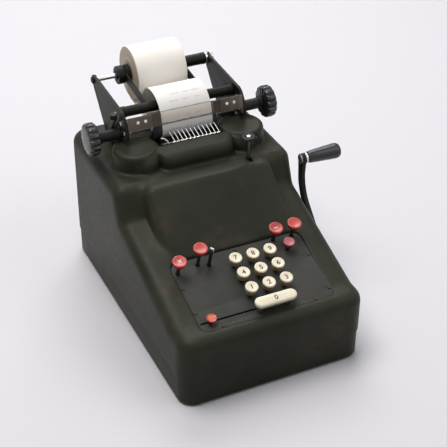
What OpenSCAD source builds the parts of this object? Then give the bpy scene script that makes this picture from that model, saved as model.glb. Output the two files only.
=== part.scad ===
// Hand-cranked ten-key printing adding machine with a paper roll, unmarked.
// Inside the modules Y runs back from the front face and Z up from the underside of the base pan.
// The finished part stands on its feet at Z = 0, with the middle of its bounding box over the origin.

/* [Body] */
// Width over the casing
body_w = 200; // [196:1:210]
// Length over the casing
body_l = 310; // [304:1:324]
// Corner radius in plan
corner_r = 18; // [15:1:22]
// Radius of the rounded top edges
edge_r = 12; // [10:1:14]
// Wall of the cast casing
wall = 3; // [2.5:0.25:3.5]
// Height of the base pan up to its seam with the casing
pan_h = 28; // [24:1:32]
// Thickness of the pan floor
pan_floor = 3; // [2:0.5:4]
// Height of the casing's front rim
front_z = 75.5; // [74:0.5:78]
// Slope of the side rails in degrees
rail_slope = 18.1; // [17.6:0.1:19]
// Height of the deck
deck_z = 151; // [148:1:156]
// Distance from the front to the top of the shoulder
shoulder_y = 177; // [174:1:180]
// Width of the hood between the side rails
hood_w = 142; // [136:1:146]
// Radius of the hood's edges
hood_r = 10; // [7:1:12]
// Height of the rubber feet
foot_h = 3; // [2.5:0.5:8]
// Radius of the rubber feet
foot_r = 11; // [9:0.5:13]

/* [Spool covers and ridge] */
// Distance of each spool cover's centre from the middle
boss_x = 60; // [58:0.5:62]
// Distance of the spool covers' centres in front of the platen's axis
boss_front = 20; // [19:0.5:22]
// Radius of a spool cover
boss_r = 24.5; // [23:0.5:26]
// Height of a spool cover above the deck
boss_h = 20; // [19:0.5:21]
// Radius of a ribbon spool's flanges
spool_r = 19; // [16:0.5:19.5]

/* [Keyboard] */
// Tilt of the keyboard plate in degrees
plate_tilt = 16.4; // [16:0.1:17]
// Width of the keyboard plate
plate_w = 144; // [143:1:148]
// Thickness of the keyboard plate
plate_t = 1.6; // [1.2:0.2:2]
// Distance between neighbouring digit keys
key_pitch = 19; // [18.5:0.25:19.5]
// Radius of a digit key's top
key_r = 6.7; // [6:0.1:7.6]
// Height of a digit key's top above the plate
key_top = 13.5; // [13:0.5:16]
// Radius of a red key's top
red_r = 7.4; // [7:0.1:8.5]
// Travel of a key
key_travel = 4; // [2:0.5:4]
// Radius of a key stem
stem_r = 1.8; // [1.4:0.1:2]

/* [Crank] */
// Distance of the main shaft from the front
crank_y = 112; // [110:1:113]
// Height of the main shaft
crank_z = 62; // [61:1:64]
// Radius of the main shaft
shaft_r = 6; // [5:0.5:7]
// Height of the grip above the main shaft
grip_rise = 82; // [78:1:90]
// Distance of the grip behind the main shaft
grip_back = 45; // [42:1:48]
// Length of the grip
grip_l = 42; // [38:1:56]
// Pull of the crank in degrees
crank_pull = 85; // [60:1:90]

/* [Platen and paper] */
// Distance of the platen's axis from the front
platen_y = 230; // [229:0.5:232]
// Height of the platen's axis above the deck
platen_rise = 27.5; // [27:0.5:31]
// Radius of the rubber platen
platen_r = 13.6; // [12.5:0.1:13.8]
// Length of the rubber platen
platen_l = 71; // [60:1:72]
// Radius of the platen's knobs
knob_r = 17.4; // [15:0.2:18]
// Thickness of a knob
knob_t = 12; // [9:0.5:14]
// Distance between the knobs' outer faces
knob_span = 214; // [206:1:220]
// Width of the paper
paper_w = 57; // [50:0.5:58]
// Thickness of the paper
paper_t = 0.4; // [0.3:0.05:0.5]
// Radius of the paper roll
roll_r = 29.2; // [20:0.2:30]
// Distance of the roll's spindle from the front
roll_y = 310; // [308:1:314]
// Height of the roll's spindle above the deck
roll_rise = 51; // [50:0.5:56]
// Radius of the roll's spindle
spindle_r = 2.8; // [2:0.1:3.2]
// Distance between the outer faces of the roll arms
arm_span = 136; // [134:1:138]
// Thickness of a roll arm
arm_t = 3; // [2.5:0.25:3.5]

/* [Hidden] */
$fn = 48;

// Clearances: between fixed pieces, round a turning shaft, and between moving neighbours
fit = 0.3;
run = 0.06;
gap = 0.3;
eps = 0.01;

// Casing
rail_y0 = 2 * edge_r;
rim_y = rail_y0 + edge_r;
shoulder_foot_y = shoulder_y - 11;
shoulder_foot_z = deck_z - 27;
upstand = 6;
pan_wall = 2;
pan_step = 1;
post_r = 6;
post_in = 14;
post_top = front_z - 14;
screw_r = 2;
screw_back = 28;

// Keyboard plate and its pocket
plate_y = 24.8;
plate_z = front_z + 0.65;
plate_front = -10;
plate_back = 76.5;
plate_corner = 9;
ledge = 4;
back_gap = 0.8;
ledge_t = 2.5;
plate_screw_r = 1;

// Hood face: it starts at the keyboard plate's back edge and rises to the deck
hood_slope = 42.4;
hood_sink = 3;
hood_foot_y = plate_y + plate_back * cos(plate_tilt);
hood_foot_z = plate_z + plate_back * sin(plate_tilt);
hood_low_y = hood_foot_y - hood_sink * cos(hood_slope) + hood_r * sin(hood_slope);
hood_low_z = hood_foot_z - hood_sink * sin(hood_slope) - hood_r * cos(hood_slope);
hood_top_y = hood_low_y + (deck_z - hood_r - hood_low_z) / tan(hood_slope);

// Ridge between the spool covers, and the opening behind it
boss_y = platen_y - boss_front;
ridge_front = boss_y - 30;
ridge_back = boss_y - 7;
ridge_r = 10;
ridge_z = deck_z + boss_h;
opening_half = boss_x - boss_r - 1.5;
opening_wide = 52;
opening_l = 48;

// Inner faces of the side frames, outside the roll arms
frame_in = arm_span / 2 + 4;

// Keyboard layout: distances across from the middle and up the slope from the plate's datum
digit_x0 = -9.7;
digit_s0 = 17.8;
zero_x = 7.7;
zero_s = -1.2;
zero_l = 45;
zero_r = 6;
zero_stem = 11;
cap_h = 8;
red_cap_h = 6.5;
guide_n = -16;
guide_t = 1.5;
tail_n = guide_n - 4;
spring_n = tail_n - key_travel - gap;
spring_t = 0.6;
spring_s = 76;
// Each red key: across, up the slope, height of its top, radius of its cap
RED_LEFT = [4.6 - frame_in, 63.8, 20.5, red_r];
RED_LEFT_TALL = [-44.2, 68, 27, red_r];
BARE_STEM = [-33.4, 64.5, 26, 0];
RED_RIGHT_INNER = [42.4, 73.4, 20.5, red_r];
RED_RIGHT_OUTER = [frame_in - 8.6, 73.4, 20.5, red_r];
RED_RIGHT_LOW = [51.2, 58, 13, red_r - 1.5];
RED_KEYS = [RED_LEFT, RED_LEFT_TALL, BARE_STEM, RED_RIGHT_INNER, RED_RIGHT_OUTER, RED_RIGHT_LOW];
slot_s = 0.3;
slot_left = 1.5 - frame_in;
slot_right = -4;
slot_w = 2;
pointer_x = 12.5 - frame_in;
pointer_w = 10.5;
pointer_h = 6.5;
pointer_l = 6.5;

// Side frames and what they carry
frame_t = 3;
frame_out = frame_in + frame_t;
frame_front = screw_back + post_r + 2 * gap;
frame_top = deck_z - 9;
frame_back = platen_y + 46;
rod_r = 4;
low_shaft = [crank_y - 28, 22];
back_shaft = [platen_y + 20, 60];
shelf_z = deck_z - 21;
shelf_t = 3;
wheel_r = 15;
wheel_z = deck_z - 39;
lift_y = crank_y + 60;
lift_z = crank_z + 10;
bush_r = shaft_r + 3;

// Pin carriage on its two rails
rail_r = 2.5;
rails_y = [40, 58];
rails_z = 31;
carriage_w = 60;
carriage_h = 16;

// Crank arm: it leaves the shaft at 45 degrees and bends upright
crank_bend = 50;
crank_t = 4;
crank_x = body_w / 2 + 5.5;
grip_pin_r = 3;

// Type bars, lifted by the lift lever through a bail
bar_pitch = 4.6;
bar_count = 12;
bar_w = 1.4;
bar_x0 = -22.45;
bar_d = 3.8;
bar_y = platen_y - 19.5;
bar_top = deck_z + 15;
wire_x0 = bar_x0 + bar_pitch / 2 + 2.15;
bail_r = 2;
bail_half = 43;
lift_half = 11.5;
lift_reach = bar_y - lift_y;
bail_z = lift_z - lift_reach * tan(lift_half);
wheel_y = bar_y - bar_d / 2 - 2 * gap - wheel_r;

// Cam on the main shaft and the roller that follows it
cam_x = 34;
cam_t = 5;
cam_roller_r = 5;
cam_arm = 26;
cam_arm_angle = 245;

// Platen, roll arms and paper
platen_z = deck_z + platen_rise;
platen_shaft_r = 3.5;
core_tube_r = 9;
roll_z = deck_z + roll_rise;
arm_in = arm_span / 2 - arm_t;
arm_out = arm_span / 2;
foot_y0 = platen_y + 10;
foot_y1 = platen_y + 44;
foot_z = deck_z - 27;
tie_y = foot_y0 + 12;
tie_z = foot_z + 8;
cross_y = platen_y + 12;
cross_z = platen_z + 16.5;
cross_r = 5.5;
paper_x = 1.5;
core_r = 12;
core_in = 9.5;
neck_r = 6;
hub_r = 10;
washer_t = 2.5;
guide_x = 33;
guide_w = 10;
roll_guide_t = 1.5;
paper_mid = platen_r + gap + paper_t / 2;
arch_y = platen_y + 16;
arch_z = platen_z + 4;
arch_r = 28.4;
arch_from = 160;

// Tear strip and its brackets, leaning back
tear_lean = 14.5;
tear_y = platen_y - 15.8;
tear_z = platen_z + 4.5;
tear_low = 3.5;
tear_h = 14;
bracket_in = 38.5;
bracket_t = 1.5;
bracket_screws = [7.5, 15.8];
lip_t = 0.7;
strip_half = 49;
strip_t = 0.8;
arm_screw_r = 1.5;

// Ribbon spools
spool_low = deck_z + 3.2;
spool_high = spool_low + boss_h - wall - 5.7;
flange_t = 1.2;
winding_r = spool_r - 3.5;
spool_pin_r = 3;
ribbon_y = bar_y + 2.5;

// Paper release: shaft, lever and the hangers of the pressure roller
release_y = platen_y + 24;
release_z = platen_z - 8;
release_r = 2.5;
release_top = platen_z + 20;
press_r = 5;
press_axle_r = 1.5;
press_z = platen_z - platen_r - gap - paper_t - gap - press_r;
hanger_t = 1.5;

// Deck lever
lever_x = 51;
lever_y = ridge_front - 7.5;
lever_travel = 6;
lever_r = 1.7;
lever_disc_r = 8.5;
lever_rise = 23.5;

// Middle of the whole part's bounding box, from the crank's grip to the left knob and from front to roll
mid_x = (crank_x + crank_t + gap + grip_l - knob_span / 2) / 2;
mid_y = (roll_y + roll_r) / 2;

// Colours
olive = [0.17, 0.18, 0.15];
plate_black = [0.12, 0.13, 0.13];
black = [0.07, 0.07, 0.08];
steel = [0.62, 0.62, 0.6];
bright = [0.82, 0.82, 0.8];
brass = [0.72, 0.58, 0.3];
cream = [0.9, 0.85, 0.68];
red = [0.68, 0.11, 0.1];
taupe = [0.45, 0.4, 0.36];
white_paper = [0.94, 0.92, 0.88];
clear = [0.85, 0.85, 0.8, 0.6];

// Height of the rail's plane, and the top of a post whose rounded edge touches it
function rail_z(y) = front_z + (y - rail_y0) * tan(rail_slope);
function rail_post(y) = rail_z(y) + edge_r - edge_r / cos(rail_slope);

// A point of the keyboard plate in the body's Y and Z
function plate_point(s, n) = [
    plate_y + s * cos(plate_tilt) - n * sin(plate_tilt),
    plate_z + s * sin(plate_tilt) + n * cos(plate_tilt)];

function arc(cy, cz, r, from, to, steps = 16) =
    [for (i = [0:steps]) let (a = from + (to - from) * i / steps) [cy + r * cos(a), cz + r * sin(a)]];

// Outline of a band of thickness t along a path
function leg_normal(p, q) = let (d = q - p) [-d[1], d[0]] / norm(d);
function band_normal(path, i) = let (
    before = max(i - 1, 0),
    after = min(i, len(path) - 2),
    sum = leg_normal(path[before], path[before + 1]) + leg_normal(path[after], path[after + 1])
) sum / norm(sum);
function band(path, t) = concat(
    [for (i = [0:len(path) - 1]) path[i] + t / 2 * band_normal(path, i)],
    [for (i = [len(path) - 1:-1:0]) path[i] - t / 2 * band_normal(path, i)]);

// Centre of the cam's roller as the cam sees it when the crank has turned by a, and the cam's edge there
function turned(p, a) = [p[0] * cos(a) - p[1] * sin(a), p[0] * sin(a) + p[1] * cos(a)];
function roller_angle(a) = cam_arm_angle + 2 * lift_half * a / crank_pull;
function roller_place(a) = [
    lift_y - crank_y + cam_arm * cos(roller_angle(a)),
    lift_z - crank_z + cam_arm * sin(roller_angle(a))];
function cam_path(a) = turned(roller_place(a), -a);
function cam_edge(a) = cam_path(a) + (cam_roller_r + gap) * leg_normal(cam_path(a + 1), cam_path(a - 1));

module place() {
    translate([-mid_x, -mid_y, foot_h])
        children();
}

// A drawing in Y and Z, made solid from x to x + t
module xplate(x, t) {
    translate([x, 0, 0])
        rotate([90, 0, 90])
            linear_extrude(t)
                children();
}

// A round bar along X
module xrod(x, l, y, z, r) {
    translate([x, y, z])
        rotate([0, 90, 0])
            cylinder(r = r, h = l);
}

module both_sides() {
    for (side = [0, 1])
        mirror([side, 0, 0])
            children();
}

// Local frame of the keyboard plate: X across, Y up the slope, Z out of the plate
module on_plate() {
    translate([0, plate_y, plate_z])
        rotate([plate_tilt, 0, 0])
            children();
}

// Local frame of the tear strip: X across, Y up the strip, Z forward
module on_tear() {
    translate([0, tear_y, tear_z])
        rotate([90 - tear_lean, 0, 0])
            translate([0, tear_low, 0])
                children();
}

module rounded_rect(x0, y0, x1, y1, r) {
    translate([x0 + r, y0])
        square([x1 - x0 - 2 * r, y1 - y0]);
    translate([x0, y0 + r])
        square([x1 - x0, y1 - y0 - 2 * r]);
    for (x = [x0 + r, x1 - r], y = [y0 + r, y1 - r])
        translate([x, y])
            circle(r);
}

module plan(inset) {
    rounded_rect(-body_w / 2 + inset, inset, body_w / 2 - inset, body_l - inset, corner_r - inset);
}

// An upright post whose top edge is rounded
module post(x, y, top, r, edge, low) {
    translate([x, y, low])
        rotate_extrude($fn = 32)
            intersection() {
                square([r, top - low]);
                union() {
                    square([r, top - low - edge]);
                    square([r - edge, top - low]);
                    translate([r - edge, top - low - edge])
                        circle(edge, $fn = 32);
                }
            }
}

module post_pair(half, y, top, r, edge, low, inset) {
    for (side = [-1, 1])
        post(side * (half - r), y, top - inset, r - inset, edge - inset, low);
}

module ridge_profile(inset, low) {
    polygon(concat(
        [[ridge_front + inset, low]],
        arc(ridge_front + ridge_r, ridge_z - 3 - ridge_r, ridge_r - inset, 180, 108, 8),
        [[ridge_back - 3, ridge_z - inset],
            [ridge_back - inset, ridge_z - 2 - inset],
            [ridge_back - inset, low]]));
}

// The outer form of the casing, or with an inset the hollow inside it
module casing_form(inset) {
    low = pan_h - inset;
    half = body_w / 2;
    boss_low = deck_z - wall - 1;
    hull() {
        post_pair(half, corner_r, rail_post(edge_r), corner_r, edge_r, low, inset);
        post_pair(half, shoulder_y, rail_post(shoulder_y), edge_r, edge_r, low, inset);
    }
    hull() {
        post_pair(half, body_l - corner_r, deck_z, corner_r, edge_r, low, inset);
        post_pair(half, shoulder_y, deck_z, edge_r, edge_r, low, inset);
        post_pair(half, shoulder_foot_y, shoulder_foot_z, edge_r, edge_r, low, inset);
    }
    hull() {
        post_pair(hood_w / 2, hood_low_y, hood_low_z + hood_r, hood_r, hood_r, low, inset);
        post_pair(hood_w / 2, hood_top_y, deck_z, hood_r, hood_r, low, inset);
        post_pair(hood_w / 2, shoulder_y + edge_r, deck_z, hood_r, hood_r, low, inset);
    }
    xplate(-boss_x, 2 * boss_x)
        ridge_profile(inset, boss_low);
    for (side = [-1, 1])
        post(side * boss_x, boss_y, ridge_z - inset, boss_r - inset, wall + 1 - inset, boss_low);
}

// Outline of the keyboard plate, grown by a margin
module plate_outline(grow) {
    rounded_rect(-plate_w / 2 - grow, plate_front - grow, plate_w / 2 + grow, plate_back + grow,
        plate_corner + min(grow, 3));
}

module plate_screw_places() {
    edge = ledge / 2 + fit;
    side = plate_w / 2 - edge;
    for (p = [[side, 0.5], [50, plate_front + edge], [-50, plate_front + edge], [-side, 14], [-side, 45],
            [side, 45], [0, plate_back - edge]])
        translate([p[0], p[1], 0])
            children();
}

module zero_stem_places() {
    for (x = [zero_x - zero_stem, zero_x + zero_stem])
        translate([x, zero_s])
            children();
}

module key_places() {
    for (col = [0:2], row = [0:2])
        translate([digit_x0 + col * key_pitch, digit_s0 + row * key_pitch])
            children();
    zero_stem_places()
        children();
    for (k = RED_KEYS)
        translate([k[0], k[1]])
            children();
}

module pointer_slot() {
    translate([slot_left, slot_s - slot_w / 2])
        square([slot_right - slot_left, slot_w]);
}

module corner_screws() {
    for (x = [-1, 1], y = [screw_back, body_l - screw_back])
        translate([x * (body_w / 2 - post_in), y, 0])
            children();
}

module base_pan() color(olive) place() {
    difference() {
        union() {
            linear_extrude(pan_h)
                plan(pan_step);
            linear_extrude(pan_h + upstand)
                plan(wall + fit);
        }
        translate([0, 0, pan_floor])
            linear_extrude(pan_h + upstand)
                plan(wall + fit + pan_wall);
        corner_screws()
            translate([0, 0, -1])
                cylinder(r = screw_r + run, h = pan_floor + 2);
    }
}

module rubber_feet() color(black) place() {
    corner_screws()
        translate([0, 0, -foot_h])
            difference() {
                cylinder(r = foot_r, h = foot_h);
                translate([0, 0, -1])
                    cylinder(r = screw_r + run, h = foot_h + 2);
                translate([0, 0, -1])
                    cylinder(r = 2 * screw_r + fit, h = 0.6 * foot_h + 1);
            }
}

module foot_screws() color(steel) place() {
    corner_screws()
        translate([0, 0, -0.4 * foot_h]) {
            cylinder(r = screw_r, h = 0.4 * foot_h + pan_floor + 14);
            translate([0, 0, -0.45 * foot_h])
                cylinder(r = 2 * screw_r, h = 0.45 * foot_h);
        }
}

module casing() color(olive) place() {
    difference() {
        union() {
            difference() {
                union() {
                    casing_form(0);
                    // Flat rim in front of the keyboard
                    hull() {
                        post_pair(body_w / 2, corner_r, front_z, corner_r, edge_r, pan_h, 0);
                        post_pair(body_w / 2, rim_y, front_z, edge_r, edge_r, pan_h, 0);
                    }
                }
                casing_form(wall);
            }
            on_plate()
                translate([0, 0, -plate_t - ledge_t])
                    linear_extrude(plate_t + ledge_t)
                        plate_outline(ledge_t);
            // Screw posts, each with a web to the side wall
            corner_screws()
                translate([0, 0, pan_floor])
                    cylinder(r = post_r, h = post_top - pan_floor);
            both_sides()
                for (y = [screw_back, body_l - screw_back])
                    translate([body_w / 2 - post_in, y - 2, pan_h + upstand + 2])
                        cube([post_in - wall / 2, 4, 20]);
        }
        // Pocket for the keyboard plate, its screw holes and the way through for the keys
        on_plate() {
            for (back = [0, back_gap])
                translate([0, back, -plate_t])
                    linear_extrude(plate_t + 6)
                        plate_outline(fit);
            translate([0, 0, -40])
                linear_extrude(41)
                    plate_outline(-ledge);
            plate_screw_places()
                translate([0, 0, -plate_t - ledge_t - 1])
                    cylinder(r = plate_screw_r + run, h = ledge_t + 2);
            key_places()
                translate([0, 0, -plate_t - ledge_t - 1])
                    cylinder(r = stem_r + 2 * gap, h = ledge_t + 2);
        }
        // Opening in the deck for the type bars and the paper
        translate([-opening_half, ridge_back + fit, deck_z - wall - 2])
            cube([2 * opening_half, opening_l, 40]);
        translate([-opening_wide, boss_y + boss_r + 1.5, deck_z - wall - 2])
            cube([2 * opening_wide, ridge_back + fit + opening_l - boss_y - boss_r - 1.5, 40]);
        // Slots for the roll arms, and for the ribbon on its way out of the spool covers
        both_sides() {
            translate([arm_in - fit, foot_y0 - fit, deck_z - wall - 2])
                cube([arm_t + 2 * fit, foot_y1 - foot_y0 + 2 * fit, wall + 4]);
            translate([opening_half - 1, ribbon_y - 1.5, deck_z + 1])
                cube([boss_r / 2, 3, boss_h - wall - 1]);
        }
        // Slot for the deck lever
        translate([lever_x - lever_r - fit, lever_y - lever_travel - lever_r - fit, deck_z - wall - 2])
            cube([2 * (lever_r + fit), lever_travel + 2 * (lever_r + fit), wall + 4]);
        // Hole for the main shaft's outer bush
        xrod(body_w / 2 - wall - 2, wall + 4, crank_y, crank_z, bush_r + run);
        corner_screws()
            translate([0, 0, pan_floor - 1])
                cylinder(r = screw_r + run, h = 20);
    }
}

module keyboard_plate() color(plate_black) place() on_plate() {
    translate([0, 0, -plate_t])
        linear_extrude(plate_t)
            difference() {
                plate_outline(0);
                key_places()
                    circle(stem_r + 2 * gap);
                pointer_slot();
                plate_screw_places()
                    circle(plate_screw_r + run);
            }
}

module plate_screws() color(bright) place() on_plate() {
    plate_screw_places() {
        translate([0, 0, -plate_t - ledge_t])
            cylinder(r = plate_screw_r, h = plate_t + ledge_t);
        cylinder(r = 1.8 * plate_screw_r, h = 0.9 * plate_screw_r);
    }
}

module key_guide_plate() color(steel) place() on_plate() {
    translate([0, 0, guide_n - guide_t])
        linear_extrude(guide_t)
            difference() {
                translate([-frame_in, plate_front + 4])
                    square([2 * frame_in, plate_back - plate_front - 2]);
                key_places()
                    circle(stem_r + run);
                pointer_slot();
            }
}

// A flat comb of leaf springs below the key stems, at the place that a pressed key gives it
module key_springs() color(brass) place() on_plate() {
    translate([0, 0, spring_n - spring_t])
        linear_extrude(spring_t) {
            translate([-frame_in, spring_s])
                square([2 * frame_in, 5]);
            for (col = [0:2])
                translate([digit_x0 + col * key_pitch - 2, digit_s0 - 3])
                    square([4, spring_s - digit_s0 + 4]);
            zero_stem_places()
                translate([-1.5, -3])
                    square([3, spring_s - zero_s + 4]);
            for (k = RED_KEYS)
                translate([k[0] - 2, k[1] - 3])
                    square([4, spring_s - k[1] + 4]);
        }
}

// A stem from its tail below the guide plate up to the cap
module key_stem(x, s, top) {
    translate([x, s, tail_n])
        cylinder(r = stem_r, h = top - tail_n);
}

// A round key cap: a dished top over a skirt that narrows downwards
module round_cap(r, h) {
    rotate_extrude()
        polygon(concat(
            [[0, 0], [0.78 * r, 0], [0.86 * r, 0.55 * h], [0.97 * r, 0.62 * h]],
            arc(r - 0.16 * h, 0.84 * h, 0.16 * h, 0, 75, 5),
            [[0.5 * r, h - 0.35], [0, h - 0.5]]));
}

module digit_key(n) {
    x = digit_x0 + (n - 1) % 3 * key_pitch;
    s = digit_s0 + floor((n - 1) / 3) * key_pitch;
    color(cream) place() on_plate() {
        key_stem(x, s, key_top - cap_h + 1);
        translate([x, s, key_top - cap_h])
            round_cap(key_r, cap_h);
    }
}

// A layer of the long key's cap
module bar_layer(r, low, high) {
    half = zero_l / 2 - zero_r;
    translate([zero_x, zero_s, key_top - cap_h + low])
        linear_extrude(high - low) {
            square([2 * half, 2 * r], center = true);
            for (x = [-half, half])
                translate([x, 0])
                    circle(r);
        }
}

module key_0() color(cream) place() on_plate() {
    for (x = [zero_x - zero_stem, zero_x + zero_stem])
        key_stem(x, zero_s, key_top - cap_h + 1);
    bar_layer(zero_r - 1, 0, cap_h / 2);
    bar_layer(zero_r, cap_h / 2, cap_h - 1.3);
    bar_layer(zero_r - 0.6, cap_h - 1.3, cap_h - 0.5);
}

module key_1() digit_key(1);
module key_2() digit_key(2);
module key_3() digit_key(3);
module key_4() digit_key(4);
module key_5() digit_key(5);
module key_6() digit_key(6);
module key_7() digit_key(7);
module key_8() digit_key(8);
module key_9() digit_key(9);

module red_key(k) {
    place() on_plate() {
        color(steel)
            key_stem(k[0], k[1], k[2] - red_cap_h + 1);
        color(red)
            translate([k[0], k[1], k[2] - red_cap_h])
                round_cap(k[3], red_cap_h);
    }
}

module red_key_left() red_key(RED_LEFT);
module red_key_left_tall() red_key(RED_LEFT_TALL);
module red_key_right_inner() red_key(RED_RIGHT_INNER);
module red_key_right_outer() red_key(RED_RIGHT_OUTER);
module red_key_right_low() red_key(RED_RIGHT_LOW);

module bare_key_stem() place() on_plate() {
    color(steel)
        key_stem(BARE_STEM[0], BARE_STEM[1], BARE_STEM[2]);
    color(bright)
        translate([BARE_STEM[0], BARE_STEM[1], BARE_STEM[2] - 9])
            cylinder(r = stem_r + 0.5, h = 9);
}

// Places of the cross shafts in Y and Z
function shaft_places() = [low_shaft, [lift_y, lift_z], [wheel_y, wheel_z], back_shaft, [tie_y, tie_z]];

// One side frame; the other is its mirror image
module side_frame() {
    under_plate = -plate_t - ledge_t - 2 * gap;
    front_s = (frame_front - plate_y + under_plate * sin(plate_tilt)) / cos(plate_tilt);
    shoulder = shoulder_foot_y - 8;
    difference() {
        union() {
            xplate(frame_in, frame_t)
                polygon([[frame_front, pan_floor], plate_point(front_s, under_plate),
                    plate_point(plate_back + 4, under_plate),
                    [shoulder, rail_z(shoulder) - wall - 8], [shoulder_y + 6, frame_top],
                    [frame_back, frame_top], [frame_back, pan_floor]]);
            // Shelf for a ribbon spool
            translate([boss_x - 8, boss_y - 10, shelf_z])
                cube([frame_in - boss_x + 8 + frame_t / 2, 20, shelf_t]);
            // Seats for a roll arm
            for (y = [foot_y0 + 5, foot_y1 - 7])
                xrod(arm_out, frame_in + frame_t / 2 - arm_out, y, foot_z + 12, 3);
            // Feet on the floor of the base pan
            for (y = [frame_front + 2, frame_back - 54])
                translate([frame_in - 10, y, pan_floor])
                    cube([10 + frame_t / 2, 26, 2]);
        }
        for (p = shaft_places())
            xrod(frame_in - 1, frame_t + 2, p[0], p[1], rod_r + run);
        for (y = rails_y)
            xrod(frame_in - 1, frame_t + 2, y, rails_z, rail_r + run);
        xrod(frame_in - 1, frame_t + 2, crank_y, crank_z, bush_r + run);
        translate([boss_x, boss_y, shelf_z - 1])
            cylinder(r = spool_pin_r + run, h = shelf_t + 2);
    }
}

module left_side_frame() color(steel) place() mirror([1, 0, 0]) side_frame();
module right_side_frame() color(steel) place() side_frame();

module cross_shafts() color(steel) place() {
    for (p = shaft_places())
        xrod(-frame_out, 2 * frame_out, p[0], p[1], rod_r);
}

module bush(x, l, flange_x) {
    difference() {
        union() {
            xrod(x, l, crank_y, crank_z, bush_r);
            xrod(flange_x, 1.5, crank_y, crank_z, bush_r + 2);
        }
        xrod(x - 1, l + 2, crank_y, crank_z, shaft_r + run);
    }
}

module shaft_bushes() color(brass) place() {
    bush(-frame_out - 1.5, frame_t + 3, -frame_out - 1.5);
    bush(frame_in - 1.5, frame_t + 3, frame_out);
    bush(body_w / 2 - wall - 1, wall + 2.5, body_w / 2);
}

module main_shaft() color(steel) place() {
    xrod(-frame_out - 1.5, frame_out + 1.5 + crank_x + crank_t + 2, crank_y, crank_z, shaft_r);
    xplate(cam_x - cam_t / 2, cam_t)
        translate([crank_y, crank_z]) {
            circle(shaft_r + 4);
            polygon(concat([[0, 0]], [for (i = [-1:18]) cam_edge(i * crank_pull / 17)]));
        }
}

// Centre line of the crank arm, from the main shaft to the grip
function crank_path() = concat([[0, 0], [15, 15]],
    arc(grip_back - crank_bend, grip_back + crank_bend * (sqrt(2) - 1), crank_bend, -45, 0, 10),
    [[grip_back, grip_rise]]);

module crank_arm() color(black) place() {
    difference() {
        union() {
            xplate(crank_x, crank_t)
                translate([crank_y, crank_z]) {
                    polygon(band(crank_path(), 9));
                    translate([grip_back, grip_rise])
                        circle(6);
                }
            xrod(crank_x - 2, crank_t + 4, crank_y, crank_z, shaft_r + 4);
        }
        xrod(crank_x - 3, crank_t + 6, crank_y, crank_z, shaft_r + run);
    }
    xrod(crank_x, crank_t + grip_l - 4, crank_y + grip_back, crank_z + grip_rise, grip_pin_r);
}

// A tapered grip, turning freely on its pin
module crank_grip() color(black) place() {
    big = 8.4;
    small = 5.8;
    translate([crank_x + crank_t + gap, crank_y + grip_back, crank_z + grip_rise])
        rotate([0, 90, 0])
            rotate_extrude()
                difference() {
                    polygon(concat(
                        [[0, 0], [small, 0], [small, 2.5], [small - 0.8, 3], [small - 0.8, 4], [small + 0.4, 4.6]],
                        arc(big - 5, grip_l - 5, 5, 0, 90, 8),
                        [[0, grip_l]]));
                    translate([-1, -1])
                        square([1 + grip_pin_r + run, grip_l - 3]);
                }
}

// Outline of a forked arm of the lift lever
module fork_outline() {
    reach = lift_reach / cos(lift_half);
    slot = bail_r + gap;
    rotate(-lift_half)
        difference() {
            translate([0, -5])
                square([reach + 6, 10]);
            translate([reach - 3, -slot])
                square([12, 2 * slot]);
        }
    circle(rod_r + 3);
}

// Tube on its cross shaft with two forked arms for the bail and a roller that follows the cam
module lift_lever() color(steel) place() {
    plate_x = bail_half - 5;
    roller_x = cam_x - cam_t / 2;
    difference() {
        union() {
            xrod(-bail_half + 2, 2 * bail_half - 4, lift_y, lift_z, rod_r + 2.5);
            both_sides()
                xplate(plate_x, 3)
                    translate([lift_y, lift_z])
                        fork_outline();
            xplate(plate_x, 3)
                translate([lift_y, lift_z])
                    rotate(cam_arm_angle) {
                        translate([0, -4])
                            square([cam_arm, 8]);
                        translate([cam_arm, 0])
                            circle(cam_roller_r + 1);
                    }
            xrod(roller_x, plate_x + 1 - roller_x, lift_y + cam_arm * cos(cam_arm_angle),
                lift_z + cam_arm * sin(cam_arm_angle), cam_roller_r);
        }
        xrod(-bail_half, 2 * bail_half, lift_y, lift_z, rod_r + run);
    }
}

function bar_xs() = [for (i = [0:bar_count - 1]) bar_x0 + i * bar_pitch];

module type_bars() color(steel) place() {
    for (x = bar_xs())
        translate([x - bar_w / 2, bar_y - bar_d / 2, bail_z - 4])
            cube([bar_w, bar_d, bar_top - bail_z + 4]);
    xrod(-bail_half, 2 * bail_half, bar_y, bail_z, bail_r);
}

// Comb on the back of the ridge whose wires guide the tops of the type bars
module type_guide() color(bright) place() {
    half = opening_half - gap;
    translate([-half, ridge_back, ridge_z - 9])
        cube([2 * half, 2, 8]);
    for (i = [0:bar_count - 1])
        translate([wire_x0 + i * bar_pitch, ridge_back + 1, ridge_z - 2])
            rotate([-48, 0, 0])
                rotate([0, -14, 0])
                    cylinder(r = 0.5, h = 12);
    // Thicker wire that leans to the left, in front of the type bars
    translate([bar_x0 - 2, ridge_back + 1, ridge_z - 2])
        rotate([-14, 0, 0])
            rotate([0, -50, 0])
                cylinder(r = 0.8, h = 8);
}

module wheel_outline() {
    teeth = 20;
    difference() {
        union() {
            circle(wheel_r - 2);
            for (i = [0:teeth - 1])
                rotate(360 * i / teeth)
                    translate([0, -0.9])
                        square([wheel_r, 1.8]);
        }
        circle(rod_r + run);
    }
}

module adding_wheels() color(brass) place() {
    for (x = bar_xs())
        xplate(x - 1.2, 2.4)
            translate([wheel_y, wheel_z])
                wheel_outline();
    difference() {
        xrod(bar_xs()[0], bar_pitch * (bar_count - 1), wheel_y, wheel_z, rod_r + 2.5);
        xrod(bar_xs()[0] - 1, bar_pitch * bar_count, wheel_y, wheel_z, rod_r + run);
    }
}

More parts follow.
